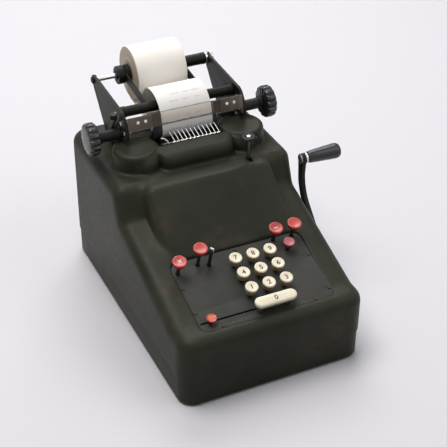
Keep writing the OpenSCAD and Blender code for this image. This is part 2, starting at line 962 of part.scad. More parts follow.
module pin_carriage() color(steel) place() {
    left = pointer_x - 8;
    front = rails_y[0] - 6;
    depth = rails_y[1] - rails_y[0] + 12;
    difference() {
        translate([left, front, rails_z - carriage_h / 2])
            cube([carriage_w, depth, carriage_h]);
        for (y = rails_y)
            xrod(left - 1, carriage_w + 2, y, rails_z, rail_r + run);
    }
    for (col = [0:9], row = [0:2])
        translate([left + 9.3 + col * bar_pitch, front + 11 + row * 6, rails_z + carriage_h / 2])
            cylinder(r = 0.8, h = 4);
}

module carriage_rails() color(bright) place() {
    for (y = rails_y)
        xrod(-frame_out, 2 * frame_out, y, rails_z, rail_r);
}

// Red finger cup with a pointed foot, on a thin arm that passes the slot and stands on the pin carriage
module column_pointer() color(red) place() {
    top = rails_z + carriage_h / 2;
    arm_l = (plate_point(slot_s, 0)[1] - top) / cos(plate_tilt) - 0.4;
    half = pointer_w / 2;
    on_plate()
        translate([pointer_x, slot_s, 0]) {
            translate([-1.5, -0.6, -arm_l])
                cube([3, 1.2, arm_l + 1]);
            translate([0, 0, gap]) {
                rotate_extrude()
                    polygon([[0, 0], [1.7, 0], [half - 0.7, pointer_h - 2.2], [half, pointer_h - 1.5],
                        [half, pointer_h], [half - 1, pointer_h], [1.5, pointer_h - 2], [0, pointer_h - 2]]);
                linear_extrude(1.4)
                    polygon([[-2.4, 0.5], [2.4, 0.5], [0.3, -pointer_l], [-0.3, -pointer_l]]);
            }
        }
    translate([pointer_x - 3, plate_point(slot_s, -arm_l)[0] - 2, top])
        cube([6, 6, 1.5]);
}

module deck_lever() color(black) place() {
    under = deck_z - wall - 2 * gap - 3;
    translate([lever_x, lever_y, 0]) {
        translate([-5, -3.5, under])
            cube([10, 7, 3]);
        translate([0, 0, under])
            cylinder(r = lever_r, h = deck_z + lever_rise - under);
        translate([0, 0, deck_z + lever_rise])
            cylinder(r = lever_disc_r, h = 3);
    }
}

// Screws through a roll arm: one into the crossbar, two into the tear bracket's ear
function arm_screw_places() = [[cross_y, cross_z], [tear_y + 13.5, tear_z + 7.5], [tear_y + 5, tear_z]];

// One roll arm: a plate from the side frame up to the platen, the crossbar and the roll's spindle
module roll_arm() {
    tip_r = spindle_r + 2.7;
    top = roll_z + 1.5;
    low = ridge_z + 1.5;
    tip = tip_r / sqrt(2);
    difference() {
        union() {
            xplate(arm_in, arm_t) {
                polygon([[foot_y0, foot_z], [foot_y0, low], [platen_y - 8, low], [tear_y - 0.7, platen_z - 2],
                    [tear_y - 0.7, platen_z + 6], [tear_y + 3.4, platen_z + 16], [tear_y + 9, top - 2.5],
                    [tear_y + 14.5, top], [roll_y - 1, roll_z + tip_r], [roll_y + tip, roll_z - tip],
                    [foot_y1, deck_z], [foot_y1, foot_z]]);
                translate([roll_y, roll_z])
                    circle(tip_r);
            }
            xrod(arm_out - eps, 1, platen_y, platen_z, neck_r + 1);
        }
        xrod(arm_in - 1, arm_t + 3, platen_y, platen_z, platen_shaft_r + run);
        xrod(arm_in - 1, arm_t + 3, roll_y, roll_z, spindle_r + run);
        xrod(arm_in - 1, arm_t + 3, release_y, release_z, release_r + run);
        xrod(arm_in - 1, arm_t + 3, tie_y, tie_z, rod_r + run);
        for (p = arm_screw_places())
            xrod(arm_in - 1, arm_t + 3, p[0], p[1], arm_screw_r + run);
    }
}

module left_roll_arm() color(olive) place() mirror([1, 0, 0]) roll_arm();
module right_roll_arm() color(olive) place() roll_arm();

module roll_crossbar() color(black) place() {
    difference() {
        xrod(-arm_in, 2 * arm_in, cross_y, cross_z, cross_r);
        both_sides()
            xrod(arm_in - 8, 9, cross_y, cross_z, arm_screw_r + run);
    }
}

module bracket_screw_places() {
    for (x = bracket_screws)
        translate([bracket_in + x, tear_h / 2 + 1, 0])
            children();
}

module tear_brackets() color(taupe) place() {
    // The inner part of each bracket is thinner and ends beside the paper
    for (side = [-1, 1])
        on_tear()
            mirror([side < 0 ? 1 : 0, 0, 0])
                translate([paper_w / 2 + side * paper_x + 1.2, 0.5, 0])
                    cube([bracket_in - paper_w / 2 - side * paper_x, tear_h - 1, lip_t]);
    both_sides() {
        on_tear()
            difference() {
                translate([bracket_in, 0, 0])
                    cube([arm_in - bracket_in, tear_h, bracket_t]);
                bracket_screw_places()
                    translate([0, 0, -1])
                        cylinder(r = 1 + run, h = bracket_t + 2);
            }
        // Ear along the arm's inner face
        difference() {
            xplate(arm_in - bracket_t, bracket_t)
                polygon([[tear_y, tear_z - 3], [tear_y + 9, tear_z - 1], [tear_y + 17, tear_z + 4],
                    [tear_y + 17, tear_z + 11], [tear_y + 3.2, tear_z + 12.5], [tear_y - 0.3, tear_z]]);
            for (i = [1, 2])
                xrod(arm_in - 3, 4, arm_screw_places()[i][0], arm_screw_places()[i][1], arm_screw_r + run);
        }
    }
}

// Clear strip behind the brackets, with a toothed lower edge
module tear_strip() color(clear) place() {
    teeth = 48;
    pitch = 2 * strip_half / teeth;
    on_tear()
        translate([0, 0, -strip_t])
            linear_extrude(strip_t)
                difference() {
                    polygon(concat(
                        [[strip_half, 0.5], [strip_half, tear_h], [-strip_half, tear_h]],
                        [for (i = [0:teeth - 1], half = [0, 1])
                            [(i + half / 2) * pitch - strip_half, half == 0 ? 0.5 : -0.7]]));
                    for (side = [-1, 1])
                        translate([side * (bracket_in + bracket_screws[0]), tear_h / 2 + 1])
                            circle(1 + run);
                }
}

// Screws of the roll arms and of the tear strip's brackets
module carriage_screws() color(bright) place() {
    both_sides() {
        for (p = arm_screw_places()) {
            xrod(arm_in - 4, arm_t + 4, p[0], p[1], arm_screw_r);
            xrod(arm_out, 1.2, p[0], p[1], 1.7 * arm_screw_r);
        }
        on_tear()
            bracket_screw_places() {
                cylinder(r = 1, h = bracket_t);
                translate([0, 0, bracket_t])
                    cylinder(r = 1.8, h = 1);
            }
    }
}

module spindle_rod() color(bright) place() {
    xrod(-arm_out - 2, 2 * arm_out + 7, roll_y, roll_z, spindle_r);
    xrod(-arm_out - 2, 2, roll_y, roll_z, spindle_r + 1);
}

// Collars on the spindle: plugs in the ends of the core, and outer sleeves
module spindle_collars() color(black) place() {
    left = paper_x - paper_w / 2 - gap;
    right = paper_x + paper_w / 2 + gap;
    near = guide_x - roll_guide_t / 2;
    far = guide_x + roll_guide_t / 2;
    difference() {
        union() {
            xrod(-near, near + left, roll_y, roll_z, hub_r);
            xrod(left - 1, 9, roll_y, roll_z, core_in - run);
            xrod(right, near - right, roll_y, roll_z, hub_r);
            xrod(right - 8, 9, roll_y, roll_z, core_in - run);
            xrod(-far - 9, 9, roll_y, roll_z, hub_r);
            xrod(far, arm_in - washer_t - gap - far, roll_y, roll_z, 6.6);
        }
        xrod(-arm_in, 2 * arm_in, roll_y, roll_z, spindle_r + run);
    }
}

// Knurled nut outside the right arm, and a washer inside it
module spindle_nut() color(bright) place() {
    difference() {
        union() {
            xplate(arm_out, 3.5)
                translate([roll_y, roll_z])
                    difference() {
                        circle(8);
                        for (i = [0:23])
                            rotate(15 * i)
                                translate([8.2, 0])
                                    circle(0.6, $fn = 16);
                    }
            xrod(arm_in - washer_t, washer_t, roll_y, roll_z, 7);
        }
        xrod(arm_in - 4, arm_t + 10, roll_y, roll_z, spindle_r + run);
    }
}

// Two flat bars from the crossbar to the spindle
module roll_guides() color(olive) place() {
    reach = norm([roll_y - cross_y, roll_z - cross_z]);
    for (side = [-1, 1])
        xplate(side * guide_x - roll_guide_t / 2, roll_guide_t)
            difference() {
                union() {
                    translate([cross_y, cross_z])
                        rotate(atan2(roll_z - cross_z, roll_y - cross_y))
                            translate([0, -guide_w / 2])
                                square([reach, guide_w]);
                    translate([roll_y, roll_z])
                        circle(8);
                }
                translate([cross_y, cross_z])
                    circle(cross_r);
                translate([roll_y, roll_z])
                    circle(spindle_r + run);
            }
}

module paper_roll() color(white_paper) place() {
    difference() {
        xrod(paper_x - paper_w / 2, paper_w, roll_y, roll_z, roll_r);
        xrod(paper_x - paper_w, 2 * paper_w, roll_y, roll_z, core_r);
    }
}

module paper_core() color(taupe) place() {
    difference() {
        xrod(paper_x - paper_w / 2, paper_w, roll_y, roll_z, core_r);
        xrod(paper_x - paper_w, 2 * paper_w, roll_y, roll_z, core_in);
    }
}

// The paper's way: from the roll's underside round the platen, up behind the tear strip, over in an arch
function paper_path() = let (
    from = [roll_y, roll_z - roll_r - gap - paper_t / 2],
    from_platen = from - [platen_y, platen_z],
    first = atan2(from_platen[1], from_platen[0]) - acos(paper_mid / norm(from_platen)),
    arch_platen = [arch_y + arch_r * cos(arch_from) - platen_y, arch_z + arch_r * sin(arch_from) - platen_z],
    last = atan2(arch_platen[1], arch_platen[0]) + acos(paper_mid / norm(arch_platen)) - 360
) concat(
    [from],
    arc(platen_y, platen_z, paper_mid, first, last, 20),
    arc(arch_y, arch_z, arch_r, arch_from, 0, 26),
    [[arch_y + arch_r + 0.8, arch_z - 6]]);

module paper_strip() color(white_paper) place() {
    xplate(paper_x - paper_w / 2, paper_w)
        polygon(band(paper_path(), paper_t));
}

module platen_roller() color(black) place() {
    difference() {
        xrod(-platen_l / 2, platen_l, platen_y, platen_z, platen_r);
        xrod(-platen_l, 2 * platen_l, platen_y, platen_z, core_tube_r);
    }
}

module platen_shaft() color(steel) place() {
    neck_x = arm_out + 1 + gap;
    xrod(-knob_span / 2 + 1, knob_span - 2, platen_y, platen_z, platen_shaft_r);
    xrod(-platen_l / 2 - 2, platen_l + 4, platen_y, platen_z, core_tube_r);
    both_sides()
        xrod(neck_x, knob_span / 2 - knob_t - neck_x, platen_y, platen_z, neck_r);
}

module platen_knobs() color(black) place() {
    flutes = 14;
    both_sides()
        xplate(knob_span / 2 - knob_t, knob_t)
            translate([platen_y, platen_z])
                difference() {
                    circle(knob_r);
                    circle(platen_shaft_r + run);
                    for (i = [0:flutes - 1])
                        rotate(360 / flutes * i)
                            translate([knob_r + 1.2, 0])
                                circle(2.9, $fn = 24);
                }
}

// A ribbon spool with its winding, standing in the shelf of its side frame
module ribbon_spool(x) {
    seat = shelf_z + shelf_t + gap;
    color(black) place()
        translate([x, boss_y, 0])
            rotate_extrude()
                polygon([[0, shelf_z - 2], [spool_pin_r, shelf_z - 2], [spool_pin_r, seat], [6, seat],
                    [6, spool_low - flange_t], [spool_r, spool_low - flange_t], [spool_r, spool_low],
                    [winding_r, spool_low], [winding_r, spool_high], [spool_r, spool_high],
                    [spool_r, spool_high + flange_t], [0, spool_high + flange_t]]);
}

module left_ribbon_spool() ribbon_spool(-boss_x);
module right_ribbon_spool() ribbon_spool(boss_x);

// The ribbon between the two spools, in front of the platen
module ink_ribbon() color(black) place() {
    half = boss_x - sqrt(pow(winding_r, 2) - pow(ribbon_y - boss_y, 2)) - gap;
    translate([-half, ribbon_y - 0.15, spool_low + gap])
        cube([2 * half, 0.3, spool_high - spool_low - 2 * gap]);
}

module pressure_roller() color(black) place() {
    difference() {
        xrod(paper_x - paper_w / 2, paper_w, platen_y, press_z, press_r);
        xrod(paper_x - paper_w, 2 * paper_w, platen_y, press_z, press_axle_r + run);
    }
}

// Lever outside the left arm, its shaft, and the two hangers that carry the pressure roller's axle
module paper_release() color(steel) place() {
    left = paper_x - paper_w / 2 - gap - hanger_t;
    right = paper_x + paper_w / 2 + gap;
    outer = arm_out + 3 * gap;
    button_y = platen_y + 1;
    xrod(-outer - 4.5, outer + 4.5 + arm_out, release_y, release_z, release_r);
    xrod(left, right - left + hanger_t, platen_y, press_z, press_axle_r);
    for (x = [left, right])
        xplate(x, hanger_t) {
            translate([release_y, release_z])
                circle(release_r + 2);
            translate([release_y - 3, press_z - 3])
                square([6, release_z - press_z + 3]);
            translate([platen_y, press_z - 3])
                square([release_y - platen_y + 3, 5.5]);
            translate([platen_y, press_z])
                circle(3);
        }
    xrod(-outer - 2.5, 2.5, release_y, release_z, release_r + 2.5);
    xplate(-outer - 4.5, 2)
        polygon(band([[release_y, release_z], [release_y - 8, release_z + 9], [button_y, release_top]], 5));
    translate([-outer - 6, button_y, release_top - 2])
        cylinder(r = 3.75, h = 5);
}

base_pan();
rubber_feet();
foot_screws();
casing();
keyboard_plate();
plate_screws();
key_guide_plate();
key_springs();
left_side_frame();
right_side_frame();
cross_shafts();
shaft_bushes();
main_shaft();
crank_arm();
crank_grip();
lift_lever();
type_bars();
type_guide();
adding_wheels();
pin_carriage();
carriage_rails();
column_pointer();
key_0();
key_1();
key_2();
key_3();
key_4();
key_5();
key_6();
key_7();
key_8();
key_9();
red_key_left();
red_key_left_tall();
bare_key_stem();
red_key_right_inner();
red_key_right_outer();
red_key_right_low();
deck_lever();
left_roll_arm();
right_roll_arm();
roll_crossbar();
spindle_rod();
spindle_collars();
spindle_nut();
roll_guides();
paper_roll();
paper_core();
paper_strip();
platen_roller();
platen_shaft();
platen_knobs();
tear_brackets();
tear_strip();
carriage_screws();
left_ribbon_spool();
right_ribbon_spool();
ink_ribbon();
pressure_roller();
paper_release();
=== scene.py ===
"""Looks of a hand-cranked ten-key printing adding machine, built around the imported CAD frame."""

import math
import random

import bmesh
import bpy
import numpy as np
from mathutils import Matrix, Vector


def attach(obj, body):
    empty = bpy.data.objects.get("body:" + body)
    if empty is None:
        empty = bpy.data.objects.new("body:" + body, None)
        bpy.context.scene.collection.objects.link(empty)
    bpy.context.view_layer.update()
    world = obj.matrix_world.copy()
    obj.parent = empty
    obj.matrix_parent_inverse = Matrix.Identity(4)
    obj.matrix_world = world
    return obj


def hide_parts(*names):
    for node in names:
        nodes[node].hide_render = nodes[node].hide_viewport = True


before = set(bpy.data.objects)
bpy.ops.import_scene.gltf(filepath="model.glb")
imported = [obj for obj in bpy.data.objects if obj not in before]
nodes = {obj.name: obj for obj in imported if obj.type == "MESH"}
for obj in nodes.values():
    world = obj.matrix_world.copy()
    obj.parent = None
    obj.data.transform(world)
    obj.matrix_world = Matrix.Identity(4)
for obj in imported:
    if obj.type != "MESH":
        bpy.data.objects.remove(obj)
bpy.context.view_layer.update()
random.seed(11)

# The source's lengths are in millimetres: X from the middle, Y from the front, Z from the pan's underside
X0, Y0, Z0 = 22.4, 169.6, 3.0
MM = Matrix.Scale(0.001, 4)
TILT = math.radians(16.4)
PLATE_Y, PLATE_Z = 24.8, 76.15
DECK = 151.0
SHAFT_Y, SHAFT_Z = 112.0, 62.0
ARM_X = 105.5
PLATEN_Y, PLATEN_Z = 230.0, 178.5
ROLL_Y, ROLL_Z = 310.0, 202.0
CROSS_Y, CROSS_Z = 242.0, 195.0
PLATEN_R, ROLL_R, CORE_R = 13.6, 29.2, 12.0
PAPER_X, PAPER_W = 1.5, 57.0


def at(x, y, z):
    """A point of the source, in metres in the part's frame."""
    return Vector((x - X0, y - Y0, z + Z0)) * 0.001


def on_plate(x, s, n):
    """A point given across, up the slope and out of the keyboard plate."""
    return at(x, PLATE_Y + s * math.cos(TILT) - n * math.sin(TILT), PLATE_Z + s * math.sin(TILT) + n * math.cos(TILT))


# Local axes of the keyboard plate, and of the tear strip: across, up the strip and out of it
PLATE_FRAME = Matrix.Translation(on_plate(0, 0, 0)) @ Matrix.Rotation(TILT, 4, "X") @ MM
TEAR_LEAN = math.radians(14.5)
TEAR_H = 14.0
TEAR_FRAME = (Matrix.Translation(at(0, PLATEN_Y - 15.8, PLATEN_Z + 4.5))
              @ Matrix.Rotation(math.pi / 2 - TEAR_LEAN, 4, "X") @ MM @ Matrix.Translation((0, 3.5, 0)))


# ---------------------------------------------------------------- materials


class Shader:
    """A short way to build a procedural material."""

    def __init__(self, name, rough=0.5, metal=0.0, **sockets):
        self.mat = bpy.data.materials.new(name)
        self.mat.use_nodes = True
        self.tree = self.mat.node_tree
        self.bsdf = self.tree.nodes["Principled BSDF"]
        for key, value in {"Roughness": rough, "Metallic": metal, **sockets}.items():
            self.set(key.replace("_", " "), value)
        self.place = self.node("ShaderNodeTexCoord").outputs["Object"]
        self.height = None

    def set(self, key, value):
        self.feed(self.bsdf, key, value)

    def node(self, kind, **inputs):
        made = self.tree.nodes.new(kind)
        for key, value in inputs.items():
            self.feed(made, key.replace("_", " "), value)
        return made

    def feed(self, made, key, value):
        """Links or sets an input, by its name or number."""
        if isinstance(value, bpy.types.NodeSocket):
            self.tree.links.new(value, made.inputs[key])
        else:
            made.inputs[key].default_value = value

    def noise(self, scale, detail=4.0, rough=0.55, stretch=None, place=None):
        source = place or self.place
        if stretch:
            source = self.node("ShaderNodeMapping", Vector=source, Scale=stretch).outputs["Vector"]
        made = self.node("ShaderNodeTexNoise", Vector=source, Scale=scale, Detail=detail, Roughness=rough)
        return made.outputs["Fac"]

    def cells(self, scale):
        return self.node("ShaderNodeTexVoronoi", Vector=self.place, Scale=scale).outputs["Distance"]

    def span(self, value, low, high, to_low=0.0, to_high=1.0):
        """Maps low to to_low and high to to_high, and clamps between them."""
        return self.node("ShaderNodeMapRange", Value=value, From_Min=low, From_Max=high, To_Min=to_low,
                         To_Max=to_high).outputs["Result"]

    def math(self, operation, a, b=0.0):
        made = self.tree.nodes.new("ShaderNodeMath")
        made.operation = operation
        self.feed(made, 0, a)
        self.feed(made, 1, b)
        return made.outputs[0]

    def mix(self, fac, a, b):
        made = self.tree.nodes.new("ShaderNodeMix")
        made.data_type = "RGBA"
        for index, value in ((0, fac), (6, a), (7, b)):
            self.feed(made, index, (*value, 1.0) if isinstance(value, tuple) else value)
        return made.outputs[2]

    def colour(self, value):
        self.set("Base Color", (*value, 1.0) if isinstance(value, tuple) else value)
        return self

    def bump(self, value, depth):
        """Adds a relief of that depth in metres for the value's full range."""
        made = self.node("ShaderNodeBump", Height=value, Strength=1.0, Distance=depth)
        if self.height:
            self.feed(made, "Normal", self.height)
        self.height = made.outputs["Normal"]
        self.set("Normal", self.height)

    def axis(self, name):
        return self.node("ShaderNodeSeparateXYZ", Vector=self.place).outputs[name]


def paint(name, colour, worn=(0.085, 0.045, 0.04), rough=0.42, grain=1.0, shine=0.14):
    """Satin enamel on a casting: fine orange peel, cloudy tone, dust and a few rubbed places."""
    s = Shader(name, rough=rough, Specular_IOR_Level=shine)
    cloud = s.noise(9.0, 5.0, 0.6)
    fine = s.noise(420.0, 3.0, 0.6)
    lighter = tuple(c * 1.35 + 0.004 for c in colour)
    darker = tuple(c * 0.72 for c in colour)
    tone = s.mix(s.span(cloud, 0.3, 0.7), darker, lighter)
    rubbed = s.math("MULTIPLY", s.span(s.noise(17.0, 6.0, 0.65), 0.54, 0.7),
                    s.span(s.noise(90.0, 4.0), 0.4, 0.65, 0.0, 0.5))
    tone = s.mix(rubbed, tone, worn)
    specks = s.span(s.cells(260.0), 0.06, 0.03, 0.0, 0.5)
    tone = s.mix(s.math("MULTIPLY", specks, s.span(s.noise(30.0), 0.55, 0.7)), tone, (0.14, 0.13, 0.11))
    s.colour(tone)
    s.set("Roughness", s.span(s.math("ADD", cloud, fine), 0.7, 1.3, rough - 0.07, rough + 0.12))
    s.bump(fine, 0.00005 * grain)
    s.bump(s.noise(60.0, 3.0), 0.00012 * grain)
    return s.mat


def metal(name, colour, rough, depth=0.000012, stain=None):
    """Drawn or plated metal: fine lines across X and stained patches."""
    s = Shader(name, metal=1.0)
    line = s.noise(300.0, 4.0, 0.6, stretch=(1, 8, 8))
    patch = s.noise(35.0, 5.0)
    dark = stain or tuple(c * 0.7 for c in colour)
    s.colour(s.mix(s.span(patch, 0.45, 0.75, 0.0, 0.8), colour, dark))
    s.set("Roughness", s.span(s.math("ADD", line, patch), 0.7, 1.3, rough * 0.75, rough * 1.35))
    s.bump(line, depth)
    return s.mat


def moulded(name, colour, rough, spread, depth=0.00003, dirt=None, coat=0.0):
    """Moulded plastic, rubber or cloth: a cloudy tone, a fine relief and dirt where it is given."""
    s = Shader(name, rough=rough, Coat_Weight=coat, Coat_Roughness=0.08)
    cloud = s.noise(60.0, 5.0, 0.6)
    low = tuple(c * (1 - spread) for c in colour)
    high = tuple(min(1.0, c * (1 + spread)) for c in colour)
    tone = s.mix(s.span(cloud, 0.3, 0.7), low, high)
    if dirt:
        tone = s.mix(s.span(s.noise(240.0, 5.0, 0.7), 0.52, 0.75, 0.0, 0.45), tone, dirt)
    s.colour(tone)
    s.set("Roughness", s.span(s.noise(150.0, 4.0), 0.3, 0.7, rough * 0.8, rough * 1.3))
    s.bump(s.noise(500.0, 3.0), depth)
    return s.mat


def flat(name, colour, rough):
    """One plain tone."""
    return Shader(name, rough=rough).colour(colour).mat


M = {
    "casing": paint("casing_enamel", (0.0200, 0.0215, 0.0125)),
    "arm": paint("arm_enamel", (0.011, 0.0128, 0.0075), rough=0.4, grain=0.6, shine=0.12),
    # Lighter olive for the thin disc on the release lever's top: a painted highlight
    "cap": paint("olive_painted_highlight", (0.09, 0.10, 0.07), worn=(0.2, 0.2, 0.17), rough=0.4, grain=0.3),
    "plate": paint("plate_enamel", (0.042, 0.044, 0.039), worn=(0.09, 0.05, 0.05), rough=0.6, grain=0.5),
    "black": paint("black_enamel", (0.010, 0.011, 0.010), worn=(0.04, 0.035, 0.03), rough=0.36, grain=0.4),
    "bracket": paint("bracket_enamel", (0.135, 0.108, 0.080), worn=(0.3, 0.27, 0.24), rough=0.42, grain=0.3),
    # Darker copy of the bracket enamel for the thin inner end: painted shade of its recess
    "lip": paint("bracket_enamel_recess_shade", (0.085, 0.072, 0.055), worn=(0.2, 0.18, 0.15), rough=0.35, grain=0.3),
    "steel": metal("plain_steel", (0.5, 0.49, 0.47), 0.34),
    "bright": metal("bright_plating", (0.78, 0.77, 0.74), 0.2, depth=0.000005, stain=(0.5, 0.47, 0.42)),
    "brass": metal("plain_brass", (0.62, 0.47, 0.22), 0.32),
    "stem": metal("dark_steel", (0.10, 0.10, 0.10), 0.4),
    "plastic": moulded("black_moulding", (0.015, 0.015, 0.0165), rough=0.26, spread=0.25),
    "cream": moulded("cream_moulding", (0.80, 0.74, 0.57), rough=0.3, spread=0.05, dirt=(0.55, 0.43, 0.26)),
    # Tan skirts under the cream tops: a real second tone, made darker to paint the shade under the tops' rims
    "skirt": moulded("tan_moulding_with_painted_shade", (0.34, 0.25, 0.12), rough=0.38, spread=0.2, dirt=(0.12, 0.07, 0.03)),
    "red": moulded("red_moulding", (0.46, 0.05, 0.04), rough=0.24, spread=0.2, dirt=(0.25, 0.02, 0.02), coat=0.25),
    # Darker red for the red keys' skirts and the pointer's tip: painted shade under the caps and the cup
    "deep": moulded("red_moulding_painted_shade", (0.25, 0.018, 0.015), rough=0.3, spread=0.25),
    # Lighter red for the pointer cup's dish
    "orange": moulded("lighter_dish_red_moulding", (0.62, 0.16, 0.08), rough=0.3, spread=0.15),
    "pink": moulded("faded_red_moulding", (0.42, 0.10, 0.12), rough=0.3, spread=0.25, coat=0.2),
    "ink": flat("key_ink", (0.02, 0.018, 0.016), 0.5),
    "sign": flat("pale_sign", (0.62, 0.5, 0.45), 0.45),
    "rubber": moulded("black_rubber", (0.02, 0.02, 0.02), rough=0.75, spread=0.2, depth=0.00008),
    "core": moulded("core_board", (0.42, 0.3, 0.18), rough=0.85, spread=0.15, depth=0.00005),
    "ribbon": moulded("inked_cloth", (0.014, 0.012, 0.018), rough=0.8, spread=0.2, depth=0.0001),
}


def paper_material(name):
    """Thin paper, which lets some light through to its other side."""
    s = Shader(name, rough=0.82, Specular_IOR_Level=0.25, Subsurface_Weight=0.35, Subsurface_Radius=(1, 1, 0.9),
               Subsurface_Scale=0.0008)
    fibre = s.noise(900.0, 4.0, 0.7)
    aged = s.noise(14.0, 4.0, 0.6)
    s.colour(s.mix(s.span(aged, 0.3, 0.7), (0.87, 0.84, 0.79), (0.93, 0.91, 0.87)))
    s.bump(fibre, 0.00004)
    return s.mat


def roll_material(name):
    """Paper on the outside, wound layers on the two ends."""
    s = Shader(name, rough=0.85, Specular_IOR_Level=0.2)
    centre = at(0, ROLL_Y, ROLL_Z)
    y = s.math("SUBTRACT", s.axis("Y"), centre.y)
    z = s.math("SUBTRACT", s.axis("Z"), centre.z)
    radius = s.math("SQRT", s.math("ADD", s.math("MULTIPLY", y, y), s.math("MULTIPLY", z, z)))
    wobble = s.math("MULTIPLY", s.noise(25.0, 3.0), 0.0006)
    lay = s.math("FRACT", s.math("MULTIPLY", s.math("ADD", radius, wobble), 1800.0))
    line = s.span(s.math("ABSOLUTE", s.math("SUBTRACT", lay, 0.5)), 0.1, 0.5)
    band = s.noise(1.0, 2.0, place=s.node("ShaderNodeCombineXYZ", X=s.math("MULTIPLY", radius, 900.0)).outputs[0])
    # The ends face along X; the mantle has no X in its normal
    normal = s.node("ShaderNodeNewGeometry").outputs["Normal"]
    side = s.span(s.math("ABSOLUTE", s.node("ShaderNodeSeparateXYZ", Vector=normal).outputs["X"]), 0.6, 0.8)
    layers = s.mix(s.math("MULTIPLY", line, 0.4), (0.70, 0.62, 0.50), (0.46, 0.38, 0.28))
    layers = s.mix(s.span(band, 0.4, 0.65, 0.0, 0.5), layers, (0.55, 0.46, 0.36))
    aged = s.mix(s.span(s.noise(20.0, 4.0), 0.3, 0.7), (0.90, 0.86, 0.80), (0.94, 0.915, 0.87))
    s.colour(s.mix(side, aged, layers))
    s.bump(s.math("MULTIPLY", line, side), 0.0001)
    s.bump(s.noise(700.0), 0.00003)
    return s.mat


def clear_material(name):
    """Aged clear plastic: it lets most light through and shows a brown-grey film."""
    s = Shader(name, rough=0.25, IOR=1.45, Alpha=0.11)
    s.colour(s.mix(s.span(s.noise(120.0, 4.0), 0.3, 0.7), (0.62, 0.50, 0.30), (0.76, 0.66, 0.44)))
    s.bump(s.noise(200.0), 0.00002)
    return s.mat


M["paper"] = paper_material("strip_paper")
M["roll"] = roll_material("roll_paper")
M["clear"] = clear_material("aged_clear_plastic")
M["print"] = flat("printing_ink", (0.30, 0.28, 0.31), 0.7)
M["white"] = flat("white_mark", (0.75, 0.74, 0.7), 0.5)
M["mark"] = moulded("faded_red_mark", (0.2, 0.06, 0.055), rough=0.6, spread=0.3)


# ---------------------------------------------------------------- mesh helpers


def placed(name, data):
    """A new object of this data in the scene."""
    obj = bpy.data.objects.new(name, data)
    bpy.context.scene.collection.objects.link(obj)
    return obj


def evaluated(obj):
    """The object's mesh as its modifiers leave it; the object goes."""
    graph = bpy.context.evaluated_depsgraph_get()
    mesh = bpy.data.meshes.new_from_object(obj.evaluated_get(graph))
    bpy.data.objects.remove(obj)
    return mesh


def piece(name, mesh, body, mats, replaced=(), smooth=32):
    """Puts a mesh into the scene as a piece of the part; edges sharper than smooth degrees stay sharp."""
    mesh.name = name
    mesh.validate()
    if smooth:
        for polygon in mesh.polygons:
            polygon.use_smooth = True
        mesh.set_sharp_from_angle(angle=math.radians(smooth))
    obj = placed(name, mesh)
    for m in mats if isinstance(mats, list) else [mats]:
        mesh.materials.append(M[m])
    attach(obj, body)
    if replaced:
        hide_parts(*replaced)


class Build:
    """Collects faces for one mesh; points are in millimetres of a local frame that the matrix places."""

    def __init__(self):
        self.bm = bmesh.new()
        self.material = 0

    def settle(self, before, matrix):
        """Material and place of the faces not in the set before; after a bevel their numbers don't tell them."""
        fresh = [f for f in self.bm.faces if f not in before]
        points = {v for f in fresh for v in f.verts}
        for f in fresh:
            f.material_index = self.material
        if matrix:
            bmesh.ops.transform(self.bm, matrix=matrix, verts=list(points))

    def rings(self, rings, matrix=None):
        """A skin through rings of points, closed at both ends; a ring of one point is a tip."""
        before = set(self.bm.faces)
        made = [[self.bm.verts.new(p) for p in ring] for ring in rings]
        for a, b in zip(made, made[1:]):
            count = max(len(a), len(b))
            for i in range(count):
                j = (i + 1) % count
                corners = [a[i % len(a)], a[j % len(a)], b[j % len(b)], b[i % len(b)]]
                corners = [c for k, c in enumerate(corners) if c not in corners[:k]]
                if len(corners) > 2:
                    self.bm.faces.new(corners)
        for end, flip in ((made[0], True), (made[-1], False)):
            if len(end) > 2:
                self.bm.faces.new(end[::-1] if flip else end)
        self.settle(before, matrix)

    def lathe(self, profile, matrix=None, segments=48, lobes=0, depth=0.0):
        """Turns (radius, height) points about Z. A third value is the share of the flutes' depth at that point."""
        rings = []
        for point in profile:
            r, h = point[:2]
            if r < 1e-6:
                rings.append([(0, 0, h)])
                continue
            cut = depth * (point[2] if len(point) > 2 else 0)
            ring = []
            for i in range(segments):
                a = 2 * math.pi * i / segments
                dent = 0.0
                if cut:
                    phase = (a * lobes / (2 * math.pi)) % 1.0
                    dent = cut * max(0.0, math.cos((phase - 0.5) * math.pi * 1.7)) ** 1.2
                ring.append(((r - dent) * math.cos(a), (r - dent) * math.sin(a), h))
            rings.append(ring)
        self.rings(rings, matrix)

    def rod(self, r, low, high, matrix, segments):
        self.lathe([(0, low), (r, low), (r, high), (0, high)], matrix, segments)

    def prism(self, outline, low, high, matrix=None):
        self.rings([[(x, y, low) for x, y in outline], [(x, y, high) for x, y in outline]], matrix)

    def box(self, low, high, matrix=None):
        (x0, y0, z0), (x1, y1, z1) = low, high
        self.prism([(x0, y0), (x1, y0), (x1, y1), (x0, y1)], z0, z1, matrix)

    def done(self):
        bmesh.ops.remove_doubles(self.bm, verts=self.bm.verts, dist=1e-5)
        bmesh.ops.recalc_face_normals(self.bm, faces=self.bm.faces)
        return baked(self.bm)


def baked(bm, name="built"):
    mesh = bpy.data.meshes.new(name)
    bm.to_mesh(mesh)
    bm.free()
    return mesh


def bevel(bm, width, segments, angle):
    """Rounds the edges sharper than angle."""
    sharp = [e for e in bm.edges if len(e.link_faces) == 2 and e.calc_face_angle(0) > math.radians(angle)]
    bmesh.ops.bevel(bm, geom=sharp, offset=width, segments=segments, affect="EDGES", profile=0.6,
                    clamp_overlap=True)


